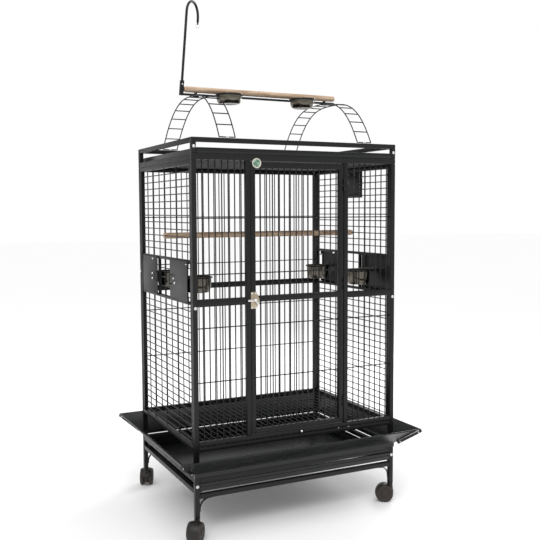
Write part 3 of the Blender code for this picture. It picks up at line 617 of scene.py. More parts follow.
# ----------------------------------------------------------------- cage frame
for side, word in ((-1, "left"), (1, "right")):
    for ys, end in ((FRONT, "front"), (BACK, "back")):
        m = Mesh()
        m.box(side_x(side, 0, TUBE), ys, POST_Z, 0.0022, 3)
        piece(f"corner_post_{end}_{word}", m, [COAT], "cage", [f"post_{end}_{word}"])

m = Mesh()
m.box((-XI + GAP, XI - GAP), FRONT, SILL, 0.0020, 3)
piece("front_sill", m, [COAT], "cage", ["base_front_rail"])

m = Mesh()
m.box((-HX, HX), FRONT, TOP, 0.0022, 3)
m.box((-HX, HX), BACK, TOP, 0.0022, 3)
for side in (-1, 1):
    m.box(side_x(side, 0, TUBE), (-YI - 0.0004, YI + 0.0004), TOP, 0.0022, 3)
piece("roof_rail", m, [COAT], "cage", ["roof_frame"])


def cross_wires(m, x0, x1, y, levels=CROSS_Z, r=CROSS_R):
    for z in levels:
        m.rod((x0, y, z), (x1, y, z), r, 8)


for word, node, x0, x1, stile, bars in (
        ("left", "front_panel_left", -XI, STILE_L[0], STILE_L, BARS_LEFT),
        ("right", "front_panel_right", STILE_R[1], XI, STILE_R, BARS_RIGHT)):
    m = Mesh()
    m.box(stile, FRONT, (SILL[1] + GAP, POST_Z[1]), 0.0020, 3)
    xs = (x0 + GAP, x1) if word == "left" else (x0, x1 - GAP)
    m.box(xs, FRONT, MID, 0.0020, 3)
    for x in bars:
        m.rod((x, YF, SILL[1] + GAP), (x, YF, POST_Z[1]), BAR_R, 10)
    cross_wires(m, xs[0], xs[1], YF + 0.0035)
    piece(f"front_grille_{word}", m, [WIRE_COAT], "cage", [node])

m = Mesh()
for zs in (BASE, MID, HEAD):
    m.box((-XI + GAP, XI - GAP), BACK, zs, 0.0020, 3)
for x in BARS_BACK:
    m.rod((x, YB, BASE[1] - 0.001), (x, YB, HEAD[0] + 0.001), BAR_R, 10)
cross_wires(m, -XI + GAP, XI - GAP, YB - 0.0035)
piece("back_grille", m, [WIRE_COAT], "cage", ["back_panel"])

# ---------------------------------------------------------------- side panels
YE = YI - GAP
WIRE_PITCH, WIRE_Z = 0.0277, 0.3798
UPPER_PITCH, UPPER_Z = 0.0279, 1.1060
END_STILE = 0.0160
UPRIGHTS = (-0.128, 0.0225, 0.175)


def end_stiles(m, side, z0, z1):
    for ys in ((-YE, -YE + END_STILE), (YE - END_STILE, YE)):
        m.box(side_x(side, 0.0010, TUBE - 0.0010), ys, (z0, z1), 0.0018, 3)


for side, word in ((-1, "left"), (1, "right")):
    xw = side * (HX - TUBE / 2)
    xu = xw - side * (BAR_R + CROSS_R - 0.0003)
    tube = side_x(side, 0, TUBE)
    m = Mesh()
    m.box(tube, (-YE, YE), BASE, 0.0020, 3)
    m.box(side_x(side, TUBE - 0.0020, TUBE + 0.0080), (-YE, YE), (0.3490, 0.3526), 0.0006, 1)
    end_stiles(m, side, BASE[0] + 0.001, FEED[0] - GAP)
    z = WIRE_Z
    while z < FEED[0] - 0.006:
        m.rod((xw, -YE, z), (xw, YE, z), CROSS_R, 8)
        z += WIRE_PITCH
    for y in UPRIGHTS:
        m.rod((xu, y, BASE[1] - 0.001), (xu, y, FEED[0] - GAP), BAR_R, 8)
    piece(f"side_grille_lower_{word}", m, [WIRE_COAT], "cage", [f"{word}_panel_lower"])

    m = Mesh()
    thick = side_x(side, 0.0035, 0.0155)
    m.box(thick, (-YE, YE), (FEED[0], FEED[0] + 0.0115), 0.0012, 2)
    m.box(thick, (-YE, YE), (FEED[1] - 0.0115, FEED[1]), 0.0012, 2)
    for s in (-1, 1):
        m.box(thick, sorted((s * 0.0785, s * 0.0865)), (FEED[0] + 0.001, FEED[1] - 0.001), 0.0010, 2)
    for z in (0.9520, 0.9895, 1.0270):
        m.rod((xw, -0.0785, z), (xw, 0.0785, z), CROSS_R, 8)
    m.rod((xw - side * 0.0035, UPRIGHTS[1], FEED[0] + 0.001),
          (xw - side * 0.0035, UPRIGHTS[1], FEED[1] - 0.001), BAR_R, 8)
    end_stiles(m, side, FEED[0], FEED[1])
    piece(f"feeder_zone_{word}", m, [WIRE_COAT], "cage", [f"{word}_panel_center"])

    m = Mesh()
    m.box(tube, (-YE, YE), HEAD, 0.0020, 3)
    end_stiles(m, side, FEED[1] + GAP, HEAD[1] - 0.001)
    levels = [z for z in row(UPPER_Z, UPPER_PITCH, 14) if z < HEAD[0] - 0.006]
    if side < 0:
        for z in levels:
            m.rod((xw, -YE, z), (xw, YE, z), CROSS_R, 8)
        for y in UPRIGHTS:
            m.rod((xu, y, FEED[1] + GAP), (xu, y, HEAD[0] + 0.001), BAR_R, 8)
    else:
        nest_lo, nest_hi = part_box("nest_door")
        sill = max(z for z in levels if z < nest_lo.z + 0.012)
        jambs = (nest_lo.y + 0.0065, nest_hi.y - 0.0065)
        for z in levels:
            if z <= sill:
                m.rod((xw, -YE, z), (xw, YE, z), CROSS_R, 8)
            else:
                m.rod((xw, -YE, z), (xw, jambs[0], z), CROSS_R, 8)
                m.rod((xw, jambs[1], z), (xw, YE, z), CROSS_R, 8)
        for y in UPRIGHTS:
            top = sill if jambs[0] < y < jambs[1] else HEAD[0] + 0.001
            m.rod((xu, y, FEED[1] + GAP), (xu, y, top), BAR_R, 8)
        for y in jambs:
            m.rod((xw, y, sill), (xw, y, HEAD[0] + 0.001), BAR_R, 8)
    piece(f"side_grille_upper_{word}", m, [WIRE_COAT], "cage", [f"{word}_panel_upper"])

# ------------------------------------------------------------- roof and perch
m = Mesh()
for k in range(1, 33):
    x = -XI + 2 * XI / 33 * k
    m.rod((x, -YE - GAP - 0.0010, TOP[0] + 0.0024), (x, YE + GAP + 0.0010, TOP[0] + 0.0024), 0.0022, 8)
m.rod((-XI - 0.0010, 0, TOP[0] + 0.0064), (XI + 0.0010, 0, TOP[0] + 0.0064), 0.0026, 8)
piece("roof_bars", m, [WIRE_COAT], "cage")


def cut(mesh, saw):
    """The same shape with the saw's boxes taken out."""
    def ob_of(shape, name):
        me = bpy.data.meshes.new(name)
        me.from_pydata(shape.verts, [], shape.faces)
        bm = bmesh.new()
        bm.from_mesh(me)
        bmesh.ops.recalc_face_normals(bm, faces=bm.faces)
        bm.to_mesh(me)
        bm.free()
        ob = bpy.data.objects.new(name, me)
        scene.collection.objects.link(ob)
        return ob
    a, b = ob_of(mesh, "cut_blank"), ob_of(saw, "cut_saw")
    mod = a.modifiers.new("cut", 'BOOLEAN')
    mod.operation, mod.solver, mod.object = 'DIFFERENCE', 'EXACT', b
    done = bpy.data.meshes.new_from_object(a.evaluated_get(bpy.context.evaluated_depsgraph_get()))
    out = Mesh().add([v.co.copy() for v in done.vertices], [list(p.vertices) for p in done.polygons])
    for o in (a, b):
        bpy.data.objects.remove(o, do_unlink=True)
    bpy.data.meshes.remove(done)
    return out


def slotted(mesh, slot_x, y, z):
    """The same shape with a level slot sawn in both ends."""
    saw = Mesh()
    for side in (-1, 1):
        saw.box(sorted((side * slot_x, side * (slot_x + 0.05))), (y - 0.03, y + 0.03),
                (z - CROSS_R - 0.0004, z + CROSS_R + 0.0006), 0)
    return cut(mesh, saw)


def dowel(name, node, seed, slot_x=None):
    """Turned branch-like dowel, not quite even, with softened ends. slot_x cuts
    a level slot through each end, from there outwards."""
    lo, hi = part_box(node)
    y, z = (lo.y + hi.y) / 2, (lo.z + hi.z) / 2
    r = (hi.z - lo.z) / 2 - 0.0001
    n, sides = 90, 24
    verts, faces = [], []
    for i in range(n + 1):
        x = lo.x + (hi.x - lo.x) * i / n
        edge = min(x - lo.x, hi.x - x)
        k = 1.0 if edge > 0.003 else 0.80 + 0.20 * math.sqrt(max(edge, 0.0) / 0.003)
        for j in range(sides):
            a = 2 * math.pi * j / sides
            q = Vector((x * 9.0, math.cos(a) * 0.9 + seed, math.sin(a) * 0.9))
            wobble = 1.0 - 0.022 * (0.5 + 0.5 * noise.noise(q)) - 0.010 * abs(noise.noise(q * 4.0))
            verts.append((x, y + r * k * wobble * math.cos(a), z + r * k * wobble * math.sin(a)))
    for i in range(n):
        for j in range(sides):
            k = (j + 1) % sides
            faces.append([i * sides + j, i * sides + k, (i + 1) * sides + k, (i + 1) * sides + j])
    faces.append(list(reversed(range(sides))))
    faces.append(list(range(n * sides, (n + 1) * sides)))
    mesh = Mesh().add(verts, faces)
    if slot_x:
        mesh = slotted(mesh, slot_x, y, z)
    piece(name, mesh, [WOOD], "cage", [node], sharp=60)


dowel("perch_dowel", "perch", 3.1, HX - 0.0140)

# ----------------------------------------------------------------- front door
m = Mesh()
dx0, dx1, dz0, dz1 = DOOR_LO.x, DOOR_HI.x, DOOR_LO.z, DOOR_HI.z
for xs, zs in (((dx0, dx0 + 0.0195), (dz0, dz1)), ((dx1 - 0.0205, dx1), (dz0, dz1)),
               ((dx0 + 0.0190, dx1 - 0.0200), (dz1 - 0.0240, dz1)),
               ((dx0 + 0.0190, dx1 - 0.0200), (dz0, dz0 + 0.0190)),
               ((dx0 + 0.0190, dx1 - 0.0200), (0.9070, 0.9300))):
    m.box(xs, FRONT, zs, 0.0020, 3)
for x in BARS_DOOR:
    m.rod((x, YF, dz0 + 0.018), (x, YF, dz1 - 0.023), BAR_R, 10)
cross_wires(m, dx0 + 0.019, dx1 - 0.020, YF + 0.0035)
piece("door_grille", m, [WIRE_COAT], "door", ["door_panel"])

# pin hinges at the right-hand stile: middle knuckle on the door, the rest fixed
fixed, turning = Mesh(), Mesh()
hx, hy = 0.2045, -HY - 0.0040
for z in (0.4700, 0.9600, 1.3650):
    for a, b, where in ((-0.0240, -0.0085, fixed), (-0.0080, 0.0080, turning), (0.0085, 0.0240, fixed)):
        where.lathe([(0, b), (0.0034, b), (0.0038, b - 0.0005), (0.0038, a + 0.0005), (0.0034, a), (0, a)],
                    Matrix.Translation((hx, hy, z)), 14)
    fixed.box((hx + 0.0010, hx + 0.0125), (-HY - 0.0016, -HY - 0.0002), (z - 0.0240, z - 0.0088), 0.0004, 1)
    fixed.box((hx + 0.0010, hx + 0.0125), (-HY - 0.0016, -HY - 0.0002), (z + 0.0088, z + 0.0240), 0.0004, 1)
    turning.box((hx - 0.0130, hx - 0.0012), (-HY - 0.0016, -HY - 0.0002), (z - 0.0078, z + 0.0078), 0.0004, 1)
piece("door_hinge_knuckles_fixed", fixed, [COAT], "cage")
piece("door_hinge_knuckles_moving", turning, [COAT], "door")

# latch: five-sided plated plate, four screws and a lever
LZ = (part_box("latch_plate")[0].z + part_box("latch_plate")[1].z) / 2
lp0, lp1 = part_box("latch_plate")
front = Matrix.Translation((0, -HY - GAP, 0)) @ Matrix.Rotation(math.pi / 2, 4, 'X')
outline = [(lp0.x, LZ - 0.0330), (lp1.x - 0.0130, LZ - 0.0330), (lp1.x, LZ - 0.0080), (lp1.x, LZ + 0.0060),
           (lp1.x - 0.0130, LZ + 0.0330), (lp0.x, LZ + 0.0330)]
m = Mesh()
m.prism(outline, front, 0.0, 0.0028, 0.0007)
m.box((lp0.x + 0.0120, lp1.x - 0.0100), (-HY - 0.0033, -HY - 0.0030), (LZ + 0.0130, LZ + 0.0210), 0.0001, 1)
piece("latch_base", m, [BRASS], "door", ["latch_plate"])
m = Mesh()
for x in (lp0.x + 0.0050, lp1.x - 0.0150):
    for z in (LZ - 0.0275, LZ + 0.0275):
        m.bolt((x, -HY - 0.0028, z), (0, -1, 0), 0.0042, 0.0007, washer=False)
piece("latch_screws", m, [ZINC], "door")
lv0, lv1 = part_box("latch_lever")
ax = -0.2005
m = Mesh()
y0, y1 = -HY - 0.0036, -HY - 0.0092
m.box((lv0.x, ax), (y1 + 0.0012, y0), (LZ - 0.0042, LZ + 0.0042), 0.0016, 2)
turned = Matrix.Translation((ax, 0, LZ)) @ Matrix.Rotation(math.radians(58), 4, 'Y') @ Matrix.Translation((-ax, 0, -LZ))
m.lathe([(0, 0.0112), (0.0050, 0.0112), (0.0068, 0.0098), (0.0072, 0.0080), (0.0072, 0.0), (0, 0.0)],
        Matrix.Translation((ax, y0, LZ)) @ Matrix.Rotation(math.pi / 2, 4, 'X'), 20)
m.box((ax - 0.0020, ax + 0.0215), (-HY - 0.0140, -HY - 0.0086), (LZ - 0.0045, LZ + 0.0045), 0.0020, 3, 0, turned)
piece("latch_handle", m, [ZINC], "latch", ["latch_lever"])

# badge: plain disc with a raised pale rim
b0, b1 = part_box("badge")
mid, rad = (b0 + b1) / 2, (b1.x - b0.x) / 2
place = Matrix.Translation((mid.x, b1.y, mid.z)) @ Matrix.Rotation(math.pi / 2, 4, 'X')
m = Mesh()
m.lathe([(rad * 0.80, 0.0), (rad, 0.0), (rad, 0.0013), (rad * 0.97, 0.0021), (rad * 0.90, 0.0024),
         (rad * 0.84, 0.0020), (rad * 0.80, 0.0014)], place, 40, 0, closed=True)
m.lathe([(0, 0.0018), (rad * 0.5, 0.0017), (rad * 0.81, 0.0014), (rad * 0.81, 0.0), (0, 0.0)], place, 40, 1)
piece("round_badge", m, [BADGE_RIM, BADGE_FACE], "door", ["badge"])


# --------------------------------------------------------------- feeder doors
def rounded_rect(x0, x1, y0, y1, r, steps=4):
    pts = []
    for cx, cy, a0 in ((x1 - r, y1 - r, 0), (x0 + r, y1 - r, 90), (x0 + r, y0 + r, 180), (x1 - r, y0 + r, 270)):
        for k in range(steps + 1):
            a = math.radians(a0 + 90 * k / steps)
            pts.append((cx + r * math.cos(a), cy + r * math.sin(a)))
    return pts


def side_place(side, x):
    """Own X to world Y, own Y to world Z, own Z outwards along the side."""
    return Matrix(((0, 0, side, x), (1, 0, 0, 0), (0, 1, 0, 0), (0, 0, 0, 1)))


def cup(m, centre, z_top, height):
    """Spun cup: rolled flange, a straight upper wall, a rounded waist and a
    flat foot, with a real wall all the way."""
    z0 = z_top - height
    outer = [(0, z0 + 0.0010), (0.0280, z0 + 0.0010), (0.0310, z0), (0.0400, z0), (0.0440, z0 + 0.0022),
             (0.0470, z0 + height * 0.16), (0.0500, z0 + height * 0.32), (0.0516, z0 + height * 0.48),
             (0.0520, z0 + height * 0.62), (0.0520, z_top - 0.0024), (0.0545, z_top - 0.0020),
             (0.0560, z_top - 0.0011), (0.0558, z_top - 0.0002), (0.0545, z_top), (0.0525, z_top - 0.0003)]
    inner = [(0.0510, z_top - 0.0016), (0.0508, z0 + height * 0.62), (0.0504, z0 + height * 0.48),
             (0.0488, z0 + height * 0.32), (0.0458, z0 + height * 0.17), (0.0425, z0 + 0.0038),
             (0.0392, z0 + 0.0014), (0.0312, z0 + 0.0014), (0.0285, z0 + 0.0024), (0, z0 + 0.0024)]
    m.lathe(outer + inner, Matrix.Translation((centre[0], centre[1], 0)), 48)


def circle(centre, r, z, n=40):
    return [(centre[0] + r * math.cos(2 * math.pi * k / n), centre[1] + r * math.sin(2 * math.pi * k / n), z)
            for k in range(n)]


hinge_pins = Mesh()
LOCK_SLOTS = {(-1, -1): -0.2665, (-1, 1): 0.1500, (1, 1): 0.1720}
for side, word in ((-1, "left"), (1, "right")):
    for end, where in ((-1, "front"), (1, "back")):
        name = f"feeder_door_{where}_{word}"
        lo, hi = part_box(name)
        clo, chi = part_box(f"feeder_cup_{where}_{word}")
        cx, cy = (clo.x + chi.x) / 2, (clo.y + chi.y) / 2
        ys = sorted((end * 0.0800, end * 0.2830))
        m = Mesh()
        px = side * (HX + 0.0005)
        m.prism(rounded_rect(ys[0], ys[1], 0.9080, 1.0710, 0.0035), side_place(side, px), 0.0, 0.0020, 0.0005)
        if (side, end) in LOCK_SLOTS:
            # the slot a slide bolt shoots through
            ym = LOCK_SLOTS[side, end]
            saw = Mesh()
            saw.box(sorted((side * (HX - 0.02), side * (HX + 0.02))), (ym - 0.0100, ym + 0.0100), (1.0568, 1.0636), 0)
            m = cut(m, saw)
        # stiffening lips pressed at the top and the foot of the plate
        for z in (0.9125, 1.0665):
            m.box(side_x(side, -0.0032, -0.0022), (ys[0] + 0.008, ys[1] - 0.008), (z - 0.0018, z + 0.0018),
                  0.0004, 1)
        # ring and arms of the cup holder, welded to the inside of the plate
        zr = 0.9990
        m.path(circle((cx, cy), 0.0552, zr), 0.0024, 8, 0, closed=True)
        for a in (-0.030, 0.030):
            reach = math.sqrt(0.0552 ** 2 - a ** 2)
            m.path([(side * (HX + 0.0008), cy + a, zr), (cx + side * reach, cy + a, zr)], 0.0024, 8)
            m.path([(side * (HX - 0.0004), cy + a, zr + 0.0160), (side * (HX - 0.0004), cy + a, zr - 0.0160)],
                   0.0022, 8)
        # pull handle bent from wire, near the free edge
        hyc = end * 0.0960
        x0, x1 = side * (HX + 0.0020), side * (HX + 0.0090)
        m.path([(x0, hyc, 0.9700), (x1, hyc, 0.9720), (x1, hyc, 1.0060), (x0, hyc, 1.0080)], 0.0018, 8)
        piece(f"feeder_plate_{where}_{word}", m, [FACE], name, [name])

        m = Mesh()
        cup(m, (cx, cy), chi.z, chi.z - clo.z)
        piece(f"steel_cup_{where}_{word}", m, [STEEL], f"feeder_cup_{where}_{word}",
              [f"feeder_cup_{where}_{word}"])

        # slide bolt and thumb knobs in bright plate
        m = Mesh()
        xo = side * (HX + 0.0025)
        knobs = (((-0.1257, 0.9941, 0.0042), (-0.1371, 0.9769, 0.0050)) if end < 0 else
                 ((0.1476, 0.9974, 0.0042), (0.1487, 0.9757, 0.0050)))
        for y, z, r in knobs:
            m.bolt((xo, y, z), (side, 0, 0), r, 0.0040, washer=False)
        piece(f"feeder_locks_{where}_{word}", m, [ZINC], name)

        # hinge: knuckles on the plate's outer edge and a pin in two lugs
        m = Mesh()
        ax, ay = side * (HX + 0.0015), end * 0.2925
        for z in (0.9230, 1.0560):
            m.box(sorted((side * (HX + 0.0006), side * (HX + 0.0018))), sorted((end * 0.2822, end * 0.2925)),
                  (z - 0.0070, z + 0.0070), 0.0003, 1)
            m.lathe([(0, z + 0.0080), (0.0021, z + 0.0080), (0.0024, z + 0.0076), (0.0024, z - 0.0076),
                     (0.0021, z - 0.0080), (0, z - 0.0080)], Matrix.Translation((ax, ay, 0)), 12)
            for dz in (-0.0112, 0.0112):
                zz = z + dz
                hinge_pins.lathe([(0, zz + 0.0028), (0.0024, zz + 0.0028), (0.0024, zz - 0.0028), (0, zz - 0.0028)],
                                 Matrix.Translation((ax, ay, 0)), 12)
                hinge_pins.box(sorted((ax, side * (HX - 0.0016))), sorted((ay, end * 0.3050)),
                               (zz - 0.0014, zz + 0.0014), 0.0003, 1)
        piece(f"feeder_knuckles_{where}_{word}", m, [FACE], name)

# ------------------------------------------------------------------ nest door
n0, n1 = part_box("nest_door")
m = Mesh()
m.prism(rounded_rect(n0.y, n1.y, n0.z, n1.z, 0.0030), side_place(1, HX + 0.0005), 0.0, 0.0020, 0.0005)
for z in (n0.z + 0.0050, n1.z - 0.0050):
    m.box(side_x(1, -0.0032, -0.0022), (n0.y + 0.006, n1.y - 0.006), (z - 0.0018, z + 0.0018), 0.0004, 1)
m.path([(HX + 0.0020, n0.y + 0.014, 1.372), (HX + 0.0100, n0.y + 0.014, 1.375),
        (HX + 0.0100, n0.y + 0.014, 1.398), (HX + 0.0020, n0.y + 0.014, 1.401)], 0.0018, 8)
ay = n1.y + 0.0025
for z in (n0.z + 0.020, n1.z - 0.020):
    m.lathe([(0, z + 0.0080), (0.0024, z + 0.0080), (0.0024, z - 0.0080), (0, z - 0.0080)],
            Matrix.Translation((HX + 0.0015, ay, 0)), 12)
    for dz in (-0.0112, 0.0112):
        zz = z + dz
        hinge_pins.lathe([(0, zz + 0.0028), (0.0024, zz + 0.0028), (0.0024, zz - 0.0028), (0, zz - 0.0028)],
                         Matrix.Translation((HX + 0.0015, ay, 0)), 12)
        hinge_pins.box((HX - 0.0130, HX + 0.0015), (ay - 0.0006, ay + 0.0008), (zz - 0.0014, zz + 0.0014),
                       0.0003, 1)
piece("nest_plate", m, [FACE], "nest_door", ["nest_door"])
piece("side_door_hinge_lugs", hinge_pins, [COAT], "cage")
m = Mesh()
m.box(side_x(1, -0.0022, -0.0046), (n0.y + 0.010, n0.y + 0.018), (1.3380, 1.3510), 0.0008, 2)
piece("nest_lock", m, [ZINC], "nest_door")

# ------------------------------------------------------------ grate and trays
g0, g1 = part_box("floor_grate")
m = Mesh()
gz = g1.z - 0.0020
for k in range(1, 33):
    x = g0.x + (g1.x - g0.x) / 33 * k
    m.rod((x, g0.y + 0.0020, gz), (x, g1.y - 0.0020, gz), 0.0019, 8)
m.rod((g0.x + 0.002, 0, gz - 0.0036), (g1.x - 0.002, 0, gz - 0.0036), 0.0022, 8)
for y in (-0.170, 0.170):
    m.rod((g0.x + 0.002, y, gz - 0.0036), (g1.x - 0.002, y, gz - 0.0036), 0.0018, 8)
for x in (g0.x + 0.0020, g1.x - 0.0020):
    m.rod((x, g0.y + 0.002, gz), (x, g1.y - 0.0005, gz), 0.0020, 8)
m.rod((g0.x + 0.002, g1.y - 0.0020, gz), (g1.x - 0.002, g1.y - 0.0020, gz), 0.0020, 8)
m.box((g0.x, g1.x), (g0.y, g0.y + 0.0026), (g0.z, g1.z), 0.0008, 2)
piece("grate", m, [WIRE_COAT], "floor_grate", ["floor_grate"])


def tray(name, node, body, lip_out, ribs=()):
    """Pressed tray: thin floor and walls with a rolled front edge."""
    lo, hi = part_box(node)
    y0 = -HY
    x0, x1, y1 = lo.x, hi.x, HY
    t = 0.0016
    rim = hi.z - (0.0010 if node == "playtop_tray" else 0.0001)
    edge = hi.z - (0.0 if node == "playtop_tray" else 0.0015)
    m = Mesh()
    m.box((x0, x1), (y0, y1), (lo.z, lo.z + 0.0020), 0.0008, 2)
    m.box((x0, x0 + t), (y0 + 0.0005, y1), (lo.z + 0.0004, rim), 0.0006, 2)
    m.box((x1 - t, x1), (y0 + 0.0005, y1), (lo.z + 0.0004, rim), 0.0006, 2)
    m.box((x0, x1), (y1 - t, y1), (lo.z + 0.0004, rim), 0.0006, 2)
    m.box((x0, x1), (y0, y0 + t), (lo.z + 0.0002, edge - 0.0006), 0.0006, 2)
    r = 0.0019
    m.rod((x0, y0 - lip_out + r, edge - r), (x1, y0 - lip_out + r, edge - r), r, 10)
    m.box((x0, x1), (y0 - lip_out + r, y0 + t), (edge - 0.0018, edge), 0.0006, 2)
    for z0, z1, out in ribs:
        m.box((x0, x1), (y0 - out, y0 + 0.0005), (z0, z1), 0.0012, 3)
    piece(name, m, [SHEET], body, [node])


tray("litter_tray", "waste_tray", "waste_tray", 0.0030, [(0.2015, 0.2050, 0.0020)])
tray("top_tray", "playtop_tray", "playtop_tray", 0.0030)

# small pull knob and bracket on the front sill
m = Mesh()
m.lathe([(0, 0.0090), (0.0034, 0.0088), (0.0048, 0.0072), (0.0048, 0.0052), (0.0026, 0.0034), (0.0026, 0.0),
         (0, 0.0)], Matrix.Translation((0.0031, -HY, 0.3690)) @ Matrix.Rotation(math.pi / 2, 4, 'X'), 20)
piece("sill_knob", m, [ZINC], "cage")
m = Mesh()
m.box((-0.0035, 0.0097), (-HY - 0.0014, -HY - 0.0001), (0.3600, 0.3775), 0.0005, 1)
piece("sill_knob_plate", m, [COAT], "cage")

# ------------------------------------------------------------------- play top
PLAY = (1.5200, 1.5380)
m = Mesh()
m.box((-HX, HX), FRONT, PLAY, 0.0022, 3)
m.box((-HX, HX), BACK, PLAY, 0.0022, 3)
for side in (-1, 1):
    m.box(side_x(side, 0, TUBE), (-YI - 0.0004, YI + 0.0004), PLAY, 0.0022, 3)
    for ys in (FRONT, BACK):
        m.box(side_x(side, 0, TUBE), ys, (TOP[1] + GAP, PLAY[0] + 0.0010), 0.0020, 3)
piece("play_rail", m, [COAT], "cage", ["playtop_frame"])

LADDER_Y, LADDER_RISE, LADDER_Z = 0.3320, 0.1912, 1.5403
LADDER_POWER = {"left": (3.30, 2.30), "right": (3.15, 2.90)}     # fullness of the front and back halves


def arch(front, back):
    n = 600
    pts = []
    for k in range(n + 1):
        u = -1 + 2 * k / n
        pts.append((LADDER_Y * u, LADDER_Z + LADDER_RISE * (1 - abs(u) ** (front if u < 0 else back))))
    s = [0.0]
    for a, b in zip(pts, pts[1:]):
        s.append(s[-1] + math.dist(a, b))
    return pts, s


def arch_at(curve, s):
    ARCH, ARCH_S = curve
    k = 1
    lo, hi = 1, len(ARCH) - 1
    while lo < hi:
        k = (lo + hi) // 2
        if ARCH_S[k] < s:
            lo = k + 1
        else:
            hi = k
    k = lo
    f = (s - ARCH_S[k - 1]) / (ARCH_S[k] - ARCH_S[k - 1])
    (ya, za), (yb, zb) = ARCH[k - 1], ARCH[k]
    return ya + f * (yb - ya), za + f * (zb - za)


clips = Mesh()
for word in ("left", "right"):
    lo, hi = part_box(f"ladder_{word}")
    x0, x1, w = lo.x, hi.x, 0.0040
    curve = arch(*LADDER_POWER[word])
    total = curve[1][-1]
    m = Mesh()
    n = 64
    for x in (x0 + w / 2, x1 - w / 2):
        m.path([(x, *arch_at(curve, w / 2 + (total - w) * k / n)) for k in range(n + 1)], 0.0024, 10)
    rungs = round(total / 0.0560)
    for k in range(rungs + 1):
        y, z = arch_at(curve, w / 2 + (total - w) * k / rungs)
        m.rod((x0 + w / 2, y, z), (x1 - w / 2, y, z), 0.0022, 8)
    piece(f"arch_{word}", m, [WIRE_COAT], "cage", [f"ladder_{word}"])
    # small plate clips that hold the feet to the rail
    xm = (x0 + x1) / 2
    for end in (-1, 1):
        yc = end * (HY - TUBE / 2)
        clips.box((xm - 0.0075, xm + 0.0075), (yc - 0.0080, yc + 0.0080), (PLAY[1] - 0.0002, PLAY[1] + 0.0009),
                  0.0004, 1)
        y = end * (LADDER_Y - 0.0005)
        clips.box((xm - 0.0075, xm + 0.0075), (y - 0.0030, y + 0.0030), (PLAY[1] + 0.0005, PLAY[1] + 0.0062),
                  0.0014, 2)
        clips.bolt((xm, yc - end * 0.0035, PLAY[1] + 0.0010), (0, 0, 1), 0.0032, 0.0024, washer=False)
piece("ladder_clips", clips, [ZINC], "cage")

# bar over the arches
bar0, bar1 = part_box("playtop_bar")
BAR_X = (-0.3725, 0.3550)
BAR_Z = (1.7387, 1.7472)
HOLDER_Z = (1.7368, 1.7418)
LEAN_A, TURN_A = math.radians(4.8), math.radians(44.0)
SOCKET = Vector((BAR_X[0], 0, BAR_Z[0]))
m = Mesh()
m.box(BAR_X, (-0.0050, 0.0050), BAR_Z, 0.0012, 2)
for word in ("left", "right"):
    lo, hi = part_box(f"ladder_{word}")
    mid = (lo.x + hi.x) / 2
    m.box((mid - 0.012, mid + 0.012), (-0.0085, 0.0085), (hi.z + 0.0004, BAR_Z[0] + 0.002), 0.0010, 2)
    # distance piece that carries the perch
    m.box((mid - 0.006, mid + 0.006), (-0.0035, 0.0035),
          (BAR_Z[1] - 0.002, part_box("playtop_perch")[0].z - GAP), 0.0008, 2)
for word in ("left", "right"):
    lo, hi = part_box(f"playtop_cup_{word}")
    cx, cy = (lo.x + hi.x) / 2, (lo.y + hi.y) / 2
    m.path(circle((cx, cy), 0.0552, sum(HOLDER_Z) / 2), 0.0024, 8, 0, closed=True)
    m.box((cx - 0.012, cx + 0.012), (-0.0150, -0.0030), (HOLDER_Z[0] + 0.0002, HOLDER_Z[1]), 0.0010, 2)
tilt = Matrix.Translation(SOCKET) @ Matrix.Rotation(LEAN_A, 4, 'Y')
# square socket as four walls round the rod
for xs, ys in (((-0.0073, -0.0058), (-0.0073, 0.0073)), ((0.0058, 0.0073), (-0.0073, 0.0073)),
               ((-0.0060, 0.0060), (-0.0073, -0.0058)), ((-0.0060, 0.0060), (0.0058, 0.0073))):
    m.box(xs, ys, (0.0, 0.0598), 0.0004, 1, 0, tilt)
m.box((-0.0064, 0.0064), (-0.0064, 0.0064), (0.0, 0.0115), 0.0005, 1, 0, tilt)
piece("top_bar", m, [COAT], "cage", ["playtop_bar"])
for word in ("left", "right"):
    lo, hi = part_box(f"playtop_cup_{word}")
    m = Mesh()
    cup(m, ((lo.x + hi.x) / 2, (lo.y + hi.y) / 2), hi.z, hi.z - lo.z)
    piece(f"top_steel_cup_{word}", m, [STEEL], f"playtop_cup_{word}", [f"playtop_cup_{word}"])
dowel("top_perch_dowel", "playtop_perch", 11.7)

m = Mesh()
p0, p1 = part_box("playtop_perch")
for x in (-0.3044, -0.0150, 0.3000):
    m.bolt((x, 0, p1.z - 0.0008), (0, 0, 1), 0.0036, 0.0018, washer=False)
m.bolt((BAR_X[1] - 0.0004, 0, sum(BAR_Z) / 2), (1, 0, 0), 0.0034, 0.0006, washer=False)
m.bolt(tilt @ Vector((0, -0.0071, 0.0440)), tilt.to_3x3() @ Vector((0, -1, 0)), 0.0036, 0.0030, washer=False)
piece("top_screws", m, [ZINC], "cage")

